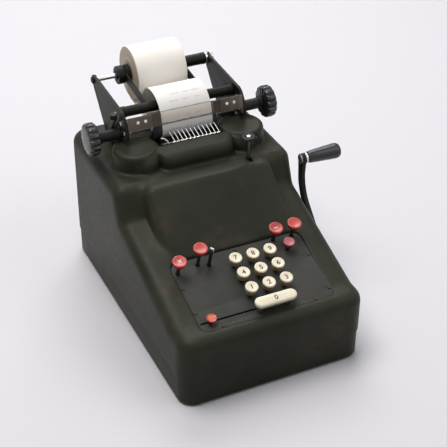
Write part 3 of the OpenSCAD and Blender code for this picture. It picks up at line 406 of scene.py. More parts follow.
def along_x(x, y, z, flip=False):
    """Local Z runs along +X of the part (or -X), from that point of the source, in metres from millimetres."""
    turn = Matrix.Rotation(-math.pi / 2 if flip else math.pi / 2, 4, "Y")
    return Matrix.Translation(at(x, y, z)) @ turn @ MM


def upright(x, y, z):
    """Local axes like the source's, from that point of it."""
    return Matrix.Translation(at(x, y, z)) @ MM


def plate_at(x, s, n=0.0):
    return PLATE_FRAME @ Matrix.Translation((x, s, n))


def arc(cx, cy, r, start, end, steps):
    """Points of an arc between two angles in degrees."""
    turns = [math.radians(start + (end - start) * i / steps) for i in range(steps + 1)]
    return [(cx + r * math.cos(a), cy + r * math.sin(a)) for a in turns]


def softened(node, name, body, mat, width, segments=2):
    """A copy of a CAD node with its flat faces joined and its edges rounded."""
    bm = bmesh.new()
    bm.from_mesh(nodes[node].data)
    bmesh.ops.remove_doubles(bm, verts=bm.verts, dist=2e-6)
    bmesh.ops.dissolve_limit(bm, angle_limit=math.radians(1.0), verts=bm.verts, edges=bm.edges)
    bevel(bm, width * 0.001, segments, 38)
    piece(name, baked(bm, name), body, mat, replaced=(node,), smooth=35)


def slotted_head(build, r, h, matrix, angle):
    """A screw head with a sawn slot, standing on local Z = 0."""
    slot = 0.28 * r
    turned = matrix @ Matrix.Rotation(angle, 4, "Z")
    build.lathe([(r * 0.96, 0), (r, 0.12 * h), (r, 0.4 * h), (0, 0.4 * h)], turned, 28)
    for side in (0, 180):
        rings = []
        for radius, height in ((r, 0.4 * h), (r, 0.7 * h), (0.93 * r, 0.9 * h), (0.8 * r, h)):
            edge = math.degrees(math.asin(min(0.99, slot / 2 / radius)))
            rings.append([(x, y, height) for x, y in arc(0, 0, radius, side + edge, side + 180 - edge, 12)])
        build.rings(rings, turned)


def write(text, size):
    """A text as flat mesh data in millimetres, centred on the origin."""
    curve = bpy.data.curves.new("figures", "FONT")
    curve.body = text
    curve.size = size
    curve.align_x = "CENTER"
    curve.align_y = "CENTER"
    curve.resolution_u = 4
    curve.offset = 0.02 * size
    mesh = evaluated(placed("figures", curve))
    bpy.data.curves.remove(curve)
    points = np.array([v.co[:] for v in mesh.vertices])
    if len(points):
        middle = (points.min(0) + points.max(0)) / 2
        for v in mesh.vertices:
            v.co.x -= middle[0]
            v.co.y -= middle[1]
    return mesh


def stamp(name, text, size, place, body, mat):
    """Figures laid on a surface: place maps a point of the text to a point of the part."""
    mesh = write(text, size)
    for v in mesh.vertices:
        v.co = place(v.co.x, v.co.y)
    piece(name, mesh, body, mat, smooth=0)


# ---------------------------------------------------------------- casing and pan


def casing_shell():
    """The cast casing with the soft hollows of a casting where the hood, deck, covers and ridge meet."""
    # End walls of the ridge, which the solid leaves open by a slit beside each cover
    b = Build()
    b.bm.from_mesh(nodes["casing"].data)
    for side in (-1, 1):
        b.box((side * 58.6 - 1.9, 180.8, 148.5), (side * 58.6 + 1.9, 188, 164), upright(0, 0, 0))
    obj = placed("form", baked(b.bm, "form"))
    remesh = obj.modifiers.new("voxels", "REMESH")
    remesh.mode = "VOXEL"
    remesh.voxel_size = 0.00125
    mesh = evaluated(obj)
    count = len(mesh.vertices)
    co = np.empty(count * 3)
    mesh.vertices.foreach_get("co", co)
    co = co.reshape(-1, 3)
    edges = np.empty(len(mesh.edges) * 2, dtype=np.int64)
    mesh.edges.foreach_get("vertices", edges)
    edges = edges.reshape(-1, 2)
    degree = np.bincount(edges.ravel(), minlength=count)[:, None]
    quads = np.empty(len(mesh.polygons) * 4, dtype=np.int64)
    mesh.polygons.foreach_get("vertices", quads)
    quads = quads.reshape(-1, 4)

    def pull(points):
        """From each point to the mean of its neighbours."""
        total = np.zeros_like(points)
        for k in range(3):
            total[:, k] = np.bincount(edges[:, 0], points[edges[:, 1], k], count)
            total[:, k] += np.bincount(edges[:, 1], points[edges[:, 0], k], count)
        return total / degree - points

    def normals(points):
        corners = points[quads]
        face = np.cross(corners[:, 2] - corners[:, 0], corners[:, 3] - corners[:, 1])
        total = np.zeros_like(points)
        for k in range(3):
            for c in range(4):
                total[:, k] += np.bincount(quads[:, c], face[:, k], count)
        return total / np.maximum(np.linalg.norm(total, axis=1, keepdims=True), 1e-12)

    def source():
        return co[:, 0] * 1000 + X0, co[:, 1] * 1000 + Y0, co[:, 2] * 1000 - Z0

    # Skin that faces outwards, without the pocket of the keyboard plate
    x, y, z = source()
    s = (y - PLATE_Y) * math.cos(TILT) + (z - PLATE_Z) * math.sin(TILT)
    n = -(y - PLATE_Y) * math.sin(TILT) + (z - PLATE_Z) * math.cos(TILT)
    pocket = (np.abs(x) < 74) & (s > -12) & (s < 79.5) & (n < 0.4) & (n > -12)
    normal = normals(co)
    outward = normal[:, 0] * np.sign(x)
    skin = (normal[:, 2] > -0.15) & (outward > -0.3) & ~pocket & (co[:, 2] > 0.05)
    # The skin's weight is blurred so that the hollows end softly
    weight = skin.astype(float)[:, None]
    for _ in range(4):
        weight = np.clip(weight + 0.5 * pull(np.repeat(weight, 3, 1))[:, :1], 0, 1)
    weight *= skin[:, None]
    # The spool covers and the ridge meet the deck and each other in a tight hollow, but not where the ridge ends
    near = (y > 168) & (z > DECK - 1.5) & (z < 171)
    tight = np.where(near & ((np.abs(np.abs(x) - 60) > 10) | (y > 192)), 0.03, 1.0)[:, None]
    # Hollows are filled up to the mean of their surroundings, while ridges stay
    for step in range(110):
        if step % 6 == 0:
            normal = normals(co)
        delta = pull(co)
        rise = np.maximum(0.0, np.sum(delta * normal, axis=1, keepdims=True))
        co += 0.9 * weight * tight * rise * normal
    for _ in range(8):
        co += 0.5 * weight * pull(co)
    # Groove that sets each spool cover off from the rounded end of the ridge
    x, y, z = source()
    away = np.abs(x)
    cover_x, cover_r, deep = 61, 25.5, 9
    end_x, end_r = 30.6, 10.5
    round_cover = cover_r - np.sqrt(np.maximum(0, cover_r ** 2 - (cover_x - away) ** 2))
    round_end = deep * (1 - np.sqrt(1 - np.clip((away - end_x) / end_r, 0, 1) ** 2))
    groove = np.where(away < end_x + end_r, round_end, np.where(away < cover_x, np.minimum(round_cover, deep), 0))
    co[:, 1] += 0.001 * groove * np.clip((199 - y) / 16, 0, 1) * np.clip((z - DECK) / 2, 0, 1) * (y > 170)
    mesh.vertices.foreach_set("co", co.ravel())
    mesh.update()
    obj = placed("form", mesh)
    obj.modifiers.new("lighter", "DECIMATE").ratio = 0.4
    piece("casing_shell", evaluated(obj), "frame", "casing", ("casing",), smooth=70)


casing_shell()
softened("base_pan", "pan_shell", "frame", "casing", width=0.8, segments=3)
softened("keyboard_plate", "keyboard_deck", "frame", "plate", width=0.25)


def rubber_feet():
    profile = [(0, -1), (4.3, -1), (4.3, -2.6), (4.8, -3), (9.4, -3), (10.4, -2.7), (11, -1.9), (10.7, -0.3),
               (10.4, 0), (0, 0)]
    for i, (x, y) in enumerate([(-86, 28), (86, 28), (-86, 282), (86, 282)]):
        b = Build()
        b.lathe(profile, upright(x, y, 0), 40)
        piece(f"foot_{i}", b.done(), "frame", "rubber", ("rubber_feet",))


rubber_feet()


# ---------------------------------------------------------------- keys

# Cap of a digit key, its top above the plate, the keys' pitch, and the figures with their height above a cap
CAP_H, CAP_R = 8.0, 6.7
KEY_TOP = 13.5
KEY_PITCH = 19
FIGURE_SIZE, FIGURE_LIFT = 7.6, 0.04


def dish(r, radius, h):
    """Height of a round cap's dished top at that radius."""
    t = min(1.0, radius / (0.8 * r))
    return h - 0.5 + 0.48 * t ** 2.2


def round_cap(b, x, s, base, r, h, skirt, top, split, flare):
    """A cap in two tones: below the share split of its height a skirt whose darker tone holds painted shade under the
    rim, above it a dished disc.
    """
    b.material = skirt
    low = [(0, 0), ((0.70 + flare) * r, 0), ((0.74 + flare) * r, 0.03 * h),
           ((0.82 + 0.7 * flare) * r, (split - 0.1) * h), ((0.86 + 0.5 * flare) * r, (split - 0.04) * h),
           (0.95 * r, split * h)]
    b.lathe(low + [(0, split * h)], plate_at(x, s, base), 40)
    b.material = top
    rim = [(0, (split - 0.02) * h), (0.94 * r, (split - 0.02) * h), (0.985 * r, (split + 0.02) * h),
           (r, (split + 0.08) * h), (r, 0.84 * h), (0.985 * r, 0.91 * h), (0.95 * r, 0.96 * h),
           (0.89 * r, 0.995 * h), (0.84 * r, h)]
    dished = [(t * r, dish(r, t * r, h)) for t in (0.8, 0.72, 0.6, 0.45, 0.3, 0.15)]
    b.lathe(rim + dished + [(0, h - 0.5)], plate_at(x, s, base), 48)


def stem(b, x, s, top):
    r = 1.8
    b.lathe([(0, -20), (r * 0.9, -20), (r, -19.6), (r, top), (0, top)], plate_at(x, s), 20)


def digit_keys():
    base = KEY_TOP - CAP_H
    for n in range(1, 10):
        x = -9.7 + (n - 1) % 3 * KEY_PITCH
        s = 17.8 + (n - 1) // 3 * KEY_PITCH
        b = Build()
        b.material = 2
        stem(b, x, s, base + 1)
        round_cap(b, x, s, base, CAP_R, CAP_H, 1, 0, split=0.74, flare=0.12)
        piece(f"digit_{n}", b.done(), f"key_{n}", ["cream", "skirt", "stem"], (f"key_{n}",))

        def place(u, v, x=x, s=s):
            return on_plate(x + u, s + v, base + dish(CAP_R, math.hypot(u, v), CAP_H) + FIGURE_LIFT)

        stamp(f"figure_{n}", str(n), FIGURE_SIZE, place, f"key_{n}", "ink")


def stadium(r, half, height, x):
    """A ring with round ends about two centres on X, half to either side of x."""
    right = arc(x + half, 0, r, -90, 90, 12)
    left = arc(x - half, 0, r, 90, 270, 12)
    return [(u, v, height) for u, v in right + left]


def zero_key():
    half, x, s = 16.5, 7.7, -1.2
    bottom = KEY_TOP - CAP_H
    b = Build()
    b.material = 2
    for dx in (-11, 11):
        stem(b, x + dx, s, bottom + 1)
    b.material = 1
    base = plate_at(0, s, bottom)
    b.rings([stadium(r, half, h, x) for r, h in ((4.6, 0), (4.9, 0.25), (5.3, 3.4), (5.6, 3.8))], base)
    b.material = 0
    top = [(5.5, 3.7), (5.85, 3.9), (6.0, 4.4), (6.0, 5.5), (5.92, 6.0), (5.65, 6.5), (5.2, 6.9), (4.6, 7.2),
           (3.7, 7.38), (2.4, 7.46), (1.2, 7.49), (0.2, 7.5)]
    b.rings([stadium(r, half, h, x) for r, h in top], base)
    piece("zero_bar", b.done(), "key_0", ["cream", "skirt", "stem"], ("key_0",))

    def place(u, v):
        return on_plate(x + u, s + v, bottom + 7.5 + FIGURE_LIFT)

    stamp("figure_0", "0", FIGURE_SIZE, place, "key_0", "ink")


def red_keys():
    # Place on the plate, height of the top, radius, tone and sign; node and body share a name
    rows = [
        ("red_key_left", -67.4, 63.8, 20.5, 7.4, "red", "×"),
        ("red_key_left_tall", -44.2, 68, 27, 7.4, "red", ""),
        ("red_key_right_inner", 42.4, 73.4, 20.5, 7.4, "red", "−"),
        ("red_key_right_outer", 63.4, 73.4, 20.5, 7.4, "red", ""),
        ("red_key_right_low", 51.2, 58, 13, 5.9, "pink", ""),
    ]
    h = 6.5
    for node, x, s, top, r, mat, sign in rows:
        name = node.replace("key_", "")
        b = Build()
        b.material = 1
        stem(b, x, s, top - h + 1)
        # Below the red top the skirt takes the darker red: painted shade under the cap's rim
        round_cap(b, x, s, top - h, r, h, 2, 0, split=0.66, flare=0.04)
        piece(name, b.done(), node, [mat, "stem", "deep"], (node,))
        if sign:
            def place(u, v, x=x, s=s, top=top, r=r):
                return on_plate(x + u, s + v, top - h + dish(r, math.hypot(u, v), h) + FIGURE_LIFT)

            stamp(name + "_sign", sign, 9.5, place, node, "sign")


def bare_stem():
    """A key stem that lost its cap, with a white tip."""
    x, s = -33.4, 64.5
    b = Build()
    stem(b, x, s, 25.4)
    b.lathe([(0, 17), (1.9, 17), (2.0, 17.3), (2.0, 24.4), (1.7, 25.0), (0, 25.2)], plate_at(x, s), 24)
    b.material = 1
    b.box((-0.75, -2.0, 21.5), (0.75, 2.0, 26), plate_at(x, s) @ Matrix.Rotation(0.7, 4, "Z"))
    piece("bare_stem", b.done(), "bare_key", ["stem", "white"], ("bare_key_stem",))


digit_keys()
zero_key()
red_keys()
bare_stem()


def pointer():
    """Red finger cup that steps along the slot and points at the marks in front of it."""
    x, s = -59.5, 0.3
    b = Build()
    cup = [(0, 0.35), (1.4, 0.35), (1.8, 0.9), (2.9, 2.5), (4.1, 4.2), (4.9, 5.1), (5.25, 5.7), (5.2, 6.3), (4.8, 6.75),
           (4.1, 6.75), (3.3, 6.3), (0, 4.4)]
    b.lathe(cup, plate_at(x, s), 40)
    # The cup's dish in a lighter red
    b.material = 1
    b.lathe([(3.35, 6.36), (2.4, 5.4), (1.3, 4.95), (0, 4.85)], plate_at(x, s), 40)
    # The tip under the cup and the stems take the darker red: painted shade
    b.material = 2
    tip = [[(-2.3, 0.2, 0.35), (2.3, 0.2, 0.35), (2.3, 0.2, 1.7), (-2.3, 0.2, 1.7)],
           [(-0.3, -6.4, 0.35), (0.3, -6.4, 0.35), (0.3, -6.4, 0.7), (-0.3, -6.4, 0.7)]]
    b.rings(tip, plate_at(x, s))
    b.box((-1.5, -0.6, -38), (1.5, 0.6, 1.2), plate_at(x, s))
    b.box((-3, -2, 0), (3, 4, 1.5), upright(x, 35.9, 39))
    piece("pointer_cup", b.done(), "carriage", ["red", "orange", "deep"], ("column_pointer",))
    # Faded marks in front of the slot
    b = Build()
    for i in range(10):
        long = 1.1 if i % 3 else 1.9
        b.box((-53.2 + 4.6 * i, -5.6 - long, 0.01), (-52.6 + 4.6 * i, -5.6, 0.05), plate_at(0, 0))
    piece("column_marks", b.done(), "frame", "mark", (), smooth=0)


pointer()


# ---------------------------------------------------------------- crank


def crank():
    """The arm leans back from the main shaft at (0, 0), bends upright and carries the grip at its end."""
    bend = 50.0
    end_y, end_z = 45, 82
    path = [(0.0, 0.0), (15.0, 15.0)]
    path += arc(end_y - bend, end_y + bend * (math.sqrt(2) - 1), bend, -45, 0, 16)[1:] + [(end_y, end_z)]
    outline_left, outline_right = [], []
    for i, (y, z) in enumerate(path):
        a = Vector(path[max(i - 1, 0)])
        c = Vector(path[min(i + 1, len(path) - 1)])
        d = (c - a).normalized()
        half = 4.5 - 0.5 * i / len(path)
        outline_left.append((y - d.y * half, z + d.x * half))
        outline_right.append((y + d.y * half, z - d.x * half))
    end = arc(end_y, end_z, 5.6, 0, 180, 14)
    start = arc(0, 0, 4.5, 135, 315, 12)
    outline = start + outline_right[1:-1] + end + outline_left[1:-1][::-1]
    # The outline lies in Y and Z of the part, and its thickness runs along X
    to_part = Matrix.Translation(at(ARM_X, SHAFT_Y, SHAFT_Z)) @ Matrix(
        ((0, 0, 1, 0), (1, 0, 0, 0), (0, 1, 0, 0), (0, 0, 0, 1))) @ MM
    to_end = to_part @ Matrix.Translation((end_y, end_z, 0))
    b = Build()
    b.prism(outline, 0, 4)
    bevel(b.bm, 0.8, 3, 30)
    bmesh.ops.transform(b.bm, matrix=to_part, verts=b.bm.verts)
    hub = [(6.1, -2), (9.6, -2), (10, -1.6), (10, 5.4), (9.4, 6), (6.1, 6)]
    b.lathe(hub + [(6.1, -2)], to_part, 48)
    b.rod(3, 0, 42, to_end, 24)
    piece("crank_bar", b.done(), "crank", "black", ("crank_arm",))
    b = Build()
    b.lathe([(0, 0.2), (6.0, 0.2), (6.0, 5.9), (5.6, 6.5), (0, 6.5)], to_part, 40)
    slotted_head(b, 3.6, 1.6, to_part @ Matrix.Translation((0, 0, 5.0)), 0.5)
    b.lathe([(0, -1.1), (4.6, -1.1), (5.1, -0.7), (5.1, 0.2), (0, 0.2)], to_end, 32)
    piece("crank_hub_cap", b.done(), "crank", "steel")
    b = Build()
    b.material = 1
    place = to_part @ Matrix.Translation((end_y, end_z, 4.3))
    b.lathe([(3.1, 0.2), (5.4, 0.2), (5.8, 0.6), (5.8, 2.2), (5.4, 2.6), (3.1, 2.6), (3.1, 0.2)], place, 40)
    b.material = 0
    body = [(3.1, 2.5), (5.0, 2.5), (5.1, 3.4), (6.0, 4.2), (6.5, 6), (7.1, 14), (7.6, 22), (8.0, 29), (8.3, 34),
            (8.4, 36.5), (8.1, 38.8), (7.2, 40.6), (5.6, 41.6), (3.0, 42.0), (0, 42.0)]
    b.lathe(body, place, 48)
    piece("grip_handle", b.done(), "grip", ["plastic", "bright"], ("crank_grip",))


crank()


# ---------------------------------------------------------------- platen, knobs, roll arms


def knobs():
    """Fluted knobs with domed outer faces."""
    profile = [(0, 0), (14.9, 0, 0.5), (16.4, 0.5, 0.9), (17.1, 1.4, 1), (17.4, 3, 1), (17.4, 8.2, 1), (17.1, 9.4, 1),
               (16.3, 10.4, 0.85), (15.2, 11.0, 0.4), (13.6, 11.35, 0), (10.0, 11.7), (5.0, 11.9), (0, 12.0)]
    for side, name in ((-1, "left_knob"), (1, "right_knob")):
        b = Build()
        b.lathe(profile, along_x(side * 95, PLATEN_Y, PLATEN_Z, side < 0), 14 * 18, lobes=14, depth=2.0)
        piece(name, b.done(), "platen", "plastic", ("platen_knobs",), smooth=50)


def platen():
    b = Build()
    r = PLATEN_R
    sleeve = [(9.1, 0), (r - 0.6, 0), (r, 0.6), (r, 70.4), (r - 0.6, 71), (9.1, 71)]
    b.lathe(sleeve, along_x(-35.5, PLATEN_Y, PLATEN_Z), 64)
    piece("platen_rubber", b.done(), "platen", "rubber", ("platen_roller",))
    b = Build()
    b.rod(9, 0, 75, along_x(-37.5, PLATEN_Y, PLATEN_Z), 40)
    b.rod(3.5, 0, 212, along_x(-106, PLATEN_Y, PLATEN_Z), 32)
    b.material = 1
    neck = [(3.4, 0), (5.6, 0), (6, 0.4), (6, 20), (6.9, 20.6), (6.9, 24.6), (6.4, 25.2), (3.4, 25.4)]
    for side in (-1, 1):
        b.lathe(neck, along_x(side * 69.4, PLATEN_Y, PLATEN_Z, side < 0), 40)
    piece("platen_axle", b.done(), "platen", ["steel", "black"], ("platen_shaft",))


knobs()
platen()
softened("left_roll_arm", "left_arm_plate", "frame", "arm", width=0.55, segments=3)
softened("right_roll_arm", "right_arm_plate", "frame", "arm", width=0.55, segments=3)
softened("roll_guides", "guide_bars", "frame", "arm", width=0.35)


def crossbar():
    b = Build()
    bar = [(1.6, 0), (5.0, 0), (5.5, 0.5), (5.5, 129.5), (5.0, 130), (1.6, 130)]
    collar = [(5.4, 0), (5.95, 0.3), (6.0, 0.8), (6.0, 6.6), (5.95, 7.1), (5.4, 7.4)]
    for x, profile in ((-65, bar), (-64.9, collar), (57.5, collar)):
        b.lathe(profile, along_x(x, CROSS_Y, CROSS_Z), 48)
    piece("cross_tube", b.done(), "frame", "arm", ("roll_crossbar",))


crossbar()


def spindle():
    hole = 2.86

    def turned(b, x, profile, segments, **more):
        b.lathe(profile, along_x(x, ROLL_Y, ROLL_Z, **more), segments)

    b = Build()
    b.material = 1
    turned(b, -70, [(0, 0), (3.2, 0), (3.7, 0.4), (3.8, 0.9), (3.8, 2), (2.7, 2), (0, 2)], 36)
    b.material = 0
    turned(b, -70, [(0, 0.3), (2.7, 0.3), (2.8, 141.6), (2.5, 142.6), (1.7, 143), (0, 143)], 36)
    piece("roll_spindle", b.done(), "frame", ["bright", "arm"], ("spindle_rod",))
    b = Build()
    left_hub = [(hole, 0), (4.6, 0), (4.9, 0.5), (4.9, 1.2), (9.4, 1.2), (10, 1.8), (10, 8.4), (9.4, 9), (hole, 9)]
    turned(b, -42.75, left_hub, 48)
    inner = [(hole, 0), (9.6, 0), (10, 0.4), (10, 4.8), (9.4, 5.0), (9.3, 12.5), (8.6, 12.9), (hole, 12.9)]
    turned(b, -32.25, inner, 48)
    right_hub = [(hole, 0), (9.6, 0), (10, 0.3), (10, 1.8), (9.4, 2.0), (9.3, 9.5), (8.6, 9.9), (hole, 9.9)]
    turned(b, 32.25, right_hub, 48, flip=True)
    sleeve = [(hole, 0), (5.9, 0), (6.4, 0.4), (6.4, 24.5), (6.6, 24.7), (6.6, 27.9), (6.1, 28.4), (hole, 28.4)]
    turned(b, 33.75, sleeve, 40)
    piece("roll_collars", b.done(), "frame", "black", ("spindle_collars",))
    b = Build()
    nut = [(hole, 0), (7.2, 0), (7.9, 0.4, 1), (8.0, 0.7, 1), (8.0, 2.8, 1), (7.9, 3.1, 1), (7.2, 3.5), (5.4, 3.5),
           (5.1, 3.0), (hole, 3.0)]
    b.lathe(nut, along_x(68, ROLL_Y, ROLL_Z), 24 * 6, lobes=24, depth=0.55)
    turned(b, 62.5, [(hole, 0), (6.6, 0), (7, 0.4), (7, 2.1), (6.6, 2.5), (hole, 2.5)], 40)
    piece("spindle_knurl", b.done(), "frame", "bright", ("spindle_nut",), smooth=28)


spindle()


# ---------------------------------------------------------------- paper


def roll():
    """The wound paper, with ends that are slightly uneven, and the tube it is wound on."""
    b = Build()
    r0, r1, w = CORE_R, ROLL_R, PAPER_W
    end = along_x(PAPER_X - PAPER_W / 2, ROLL_Y, ROLL_Z)
    profile = [(r0, 0.25), (r0 + 0.5, 0), (16, 0.08), (16.2, 0.3), (20, 0.12), (24, 0.22), (24.3, 0),
               (r1 - 0.35, 0.1), (r1, 0.5), (r1, w - 0.5), (r1 - 0.35, w - 0.1), (24, w), (23.8, w - 0.2),
               (18, w - 0.1), (r0 + 0.5, w), (r0, w - 0.25), (r0, 0.25)]
    b.lathe(profile, end, 96)
    piece("wound_roll", b.done(), "roll", "roll", ("paper_roll",))
    b = Build()
    b.lathe([(9.5, 0.2), (9.8, 0), (r0 - 0.3, 0), (r0, 0.2), (r0, w - 0.2), (r0 - 0.3, w), (9.8, w), (9.5, w - 0.2),
             (9.5, 0.2)], end, 64)
    piece("core_tube", b.done(), "roll", "core", ("paper_core",))


def paper_line():
    """The strip's centre line in Y and Z of the source, from the roll round the platen and over in an arch."""
    gap, half_t = 0.3, 0.2
    mid = PLATEN_R + gap + half_t
    start = Vector((ROLL_Y, ROLL_Z - ROLL_R - gap - half_t))
    to = start - Vector((PLATEN_Y, PLATEN_Z))
    first = math.degrees(math.atan2(to.y, to.x)) - math.degrees(math.acos(mid / to.length))
    cy, cz, r = PLATEN_Y + 16, PLATEN_Z + 4, 28.4
    arch = arc(cy, cz, r, 160, 0, 72)
    tip = Vector((arch[0][0] - PLATEN_Y, arch[0][1] - PLATEN_Z))
    last = math.degrees(math.atan2(tip.y, tip.x)) + math.degrees(math.acos(mid / tip.length)) - 360
    path = [tuple(start)] + arc(PLATEN_Y, PLATEN_Z, mid, first, last, 48) + arch
    return path + [(cy + r + 0.4, cz - 3), (cy + r + 0.8, cz - 6)]


def resample(path, step):
    """Points about a step apart along the path, and its length."""
    points = [Vector(p) for p in path]
    lengths = [0.0]
    for a, c in zip(points, points[1:]):
        lengths.append(lengths[-1] + (c - a).length)
    count = int(lengths[-1] / step)
    out = []
    k = 0
    for i in range(count + 1):
        t = lengths[-1] * i / count
        while k < len(points) - 2 and lengths[k + 1] < t:
            k += 1
        f = (t - lengths[k]) / max(lengths[k + 1] - lengths[k], 1e-9)
        out.append(points[k].lerp(points[k + 1], f))
    return out, lengths[-1]


PATH, PATH_LENGTH = resample(paper_line(), 1.0)


def on_strip(u, t, lift):
    """A point of the strip: u across from its middle, t along from the roll, lift outwards from its centre line."""
    f = min(max(t / PATH_LENGTH, 0.0), 1.0) * (len(PATH) - 1)
    i = min(int(f), len(PATH) - 2)
    point = PATH[i].lerp(PATH[i + 1], f - i)
    d = (PATH[min(i + 2, len(PATH) - 1)] - PATH[max(i - 1, 0)]).normalized()
    return at(PAPER_X + u, point.x - d.y * lift, point.y + d.x * lift)


def strip():
    b = Build()
    half_t, half_w = 0.12, PAPER_W / 2
    steps = len(PATH) - 1
    rings = []
    for i in range(steps + 1):
        t = PATH_LENGTH * i / steps
        ring = []
        for w in (1, -1):
            for u in (-half_w, 0.2 - half_w, -14, 0, 14, half_w - 0.2, half_w):
                ring.append(tuple(on_strip(u * w, t, half_t * w)))
        rings.append(ring)
    b.rings(rings)
    piece("printed_strip", b.done(), "frame", "paper", ("paper_strip",), smooth=50)
    # Generic rows of figures, as such a machine prints them
    shapes = {}
    for sign in "0123456789+":
        mesh = write(sign, 2.1)
        shapes[sign] = ([v.co.copy() for v in mesh.vertices], [tuple(f.vertices) for f in mesh.polygons])
        bpy.data.meshes.remove(mesh)
    rows = random.Random(5)
    points, faces = [], []
    t = PATH_LENGTH - 100
    while t < PATH_LENGTH - 9:
        u = rows.uniform(14, 21)
        for _ in range(rows.choice([2, 3, 3])):
            number = "".join(rows.choice("0123456789") for _ in range(rows.choice([3, 4, 5])))
            for k, sign in enumerate(reversed(number + rows.choice(["", "+"]))):
                first = len(points)
                co, polygons = shapes[sign]
                points += [tuple(on_strip(u - 1.9 * k + c.x, t + c.y, half_t + 0.03)) for c in co]
                faces += [tuple(first + i for i in f) for f in polygons]
            u -= rows.uniform(11, 15)
        t += rows.choice([4.2, 8.4, 8.4, 12.6])
    mesh = bpy.data.meshes.new("rows")
    mesh.from_pydata(points, [], faces)
    piece("printed_rows", mesh, "frame", "print", (), smooth=0)


roll()
strip()


# ---------------------------------------------------------------- tear strip, brackets, guide wires


def tear_parts():
    # Brackets: a bent plate in the strip's plane, a thinner end beside the paper and an ear along the arm
    for side, name in ((-1, "left_bracket"), (1, "right_bracket")):
        b = Build()
        flip = TEAR_FRAME @ Matrix.Scale(side, 4, (1, 0, 0))
        b.prism([(38.5, 0.8), (39.3, 0), (64.2, 0), (64.8, 0.6), (64.8, TEAR_H - 0.8), (64.0, TEAR_H), (39.3, TEAR_H),
                 (38.5, TEAR_H - 0.8)], 0, 1.5, flip)
        ear = [(214.2, 180), (223.2, 182), (231.2, 187), (231.2, 194), (217.4, 195.5), (213.9, 183)]
        b.rings([[tuple(at(side * x, y, z)) for y, z in ear] for x in (63.5, 65)])
        bevel(b.bm, 0.0003, 2, 30)
        # The thinner end beside the paper takes the darker copy of the bracket enamel, which paints the shade of its
        # recess
        b.material = 1
        inner = 29.7 + side * 1.5
        b.prism([(inner, 0.9), (inner + 0.4, 0.5), (39.6, 0.5), (39.6, TEAR_H - 0.5), (inner + 0.4, TEAR_H - 0.5),
                 (inner, TEAR_H - 0.9)], 0.02, 0.7, flip)
        b.material = 0
        # Raised rim along the plate's inner end, where it is folded back
        b.prism([(38.5, 0.4), (39.2, 0.4), (39.2, TEAR_H - 0.4), (38.5, TEAR_H - 0.4)], 1.3, 1.62, flip)
        piece(name, b.done(), "frame", ["bracket", "lip"], ("tear_brackets",))
    b = Build()
    half = 49.0
    b.box((-half, 0.5, -0.8), (half, TEAR_H, 0), TEAR_FRAME)
    piece("clear_tear_strip", b.done(), "frame", "clear", ("tear_strip",), smooth=0)
    # Dark serrated blade along the strip's lower edge, and the dark line of its upper edge
    b = Build()
    teeth = 48
    pitch = 2 * half / teeth
    b.box((0.2 - half, 0.3, 0.02), (half - 0.2, 0.9, 0.3), TEAR_FRAME)
    for i in range(teeth):
        x = i * pitch - half
        b.prism([(x + 0.2, 0.31), (x + 0.5 * pitch, -0.9), (x + pitch - 0.2, 0.31)], -0.7, 0.3, TEAR_FRAME)
    rows = random.Random(3)
    x = -27.0
    while x < 30:
        wide = rows.uniform(0.5, 1.6)
        if rows.random() < 0.7:
            b.box((x, 0.9, 0.02), (x + wide, rows.uniform(1.1, 1.7), 0.25), TEAR_FRAME)
        x += wide + rows.uniform(0.2, 1.0)
    b.box((-28.2, TEAR_H - 0.35, -0.75), (31.2, TEAR_H + 0.02, 0.04), TEAR_FRAME)
    piece("tear_blade", b.done(), "frame", "stem", (), smooth=0)
    b = Build()
    for side in (-1, 1):
        for x in (7.5, 15.8):
            m = TEAR_FRAME @ Matrix.Translation((side * (38.5 + x), TEAR_H / 2 + 1, 1.5))
            slotted_head(b, 1.8, 1.0, m, 0.4 + 0.7 * x)
            b.rod(1, -1.4, 0.1, m, 16)
        for y, z in ((CROSS_Y, CROSS_Z), (227.7, 190.5), (219.2, 183.0)):
            m = along_x(side * 68, y, z, side < 0)
            slotted_head(b, 2.55, 1.2, m, 0.3 * y)
            b.rod(1.5, -6.5, 0.1, m, 16)
    piece("arm_screws", b.done(), "frame", "bright", ("carriage_screws",))


def tube(b, points, r, segments=10):
    """A round wire along the points, in metres."""
    rings = []
    reference = Vector((1, 0, 0))
    for i, p in enumerate(points):
        d = (points[min(i + 1, len(points) - 1)] - points[max(i - 1, 0)]).normalized()
        side = (reference - d * reference.dot(d)).normalized()
        up = d.cross(side)
        rings.append([tuple(p + r * (math.cos(a) * side + math.sin(a) * up))
                      for a in (2 * math.pi * k / segments for k in range(segments))])
    b.rings(rings)


def wires():
    """Comb of bright wires between the ridge and the strip, in front of the type bars."""
    b = Build()
    half, ridge_back, ridge_z = 33.7, 203.0, 171.0
    b.box((-half, ridge_back + 0.1, ridge_z - 9), (half, ridge_back + 2, ridge_z - 1), upright(0, 0, 0))
    lean = math.radians(48)
    for i in range(12):
        x = 32.6 - 4.6 * i
        points = []
        for k in range(9):
            t = 12.0 * k / 8
            bow = 0.3 * math.sin(math.pi * k / 8)
            points.append(at(x - 2.9 * k / 8, ridge_back + 1 + math.sin(lean) * t,
                             ridge_z - 2 + math.cos(lean) * t + bow))
        tube(b, points, 0.0005)
        b.lathe([(0, 0), (0.9, 0), (0.9, 0.5), (0.5, 0.7)], upright(x, ridge_back + 1, ridge_z - 1.2), 12)
    # Thicker wire at the left, bent over
    bend = [(0, 0, -0.6), (-0.9, 0.3, 1.2), (-2.2, 0.6, 3.2), (-3.8, 0.9, 5.2), (-5.4, 1.1, 6.5), (-7.4, 1.2, 7.2),
            (-9.4, 1.3, 7.7)]
    tube(b, [at(-24.45 + u, ridge_back + 1 + v, ridge_z - 2 + w) for u, v, w in bend], 0.0008, 12)
    piece("guide_wires", b.done(), "frame", "bright", ("type_guide",))


tear_parts()
wires()


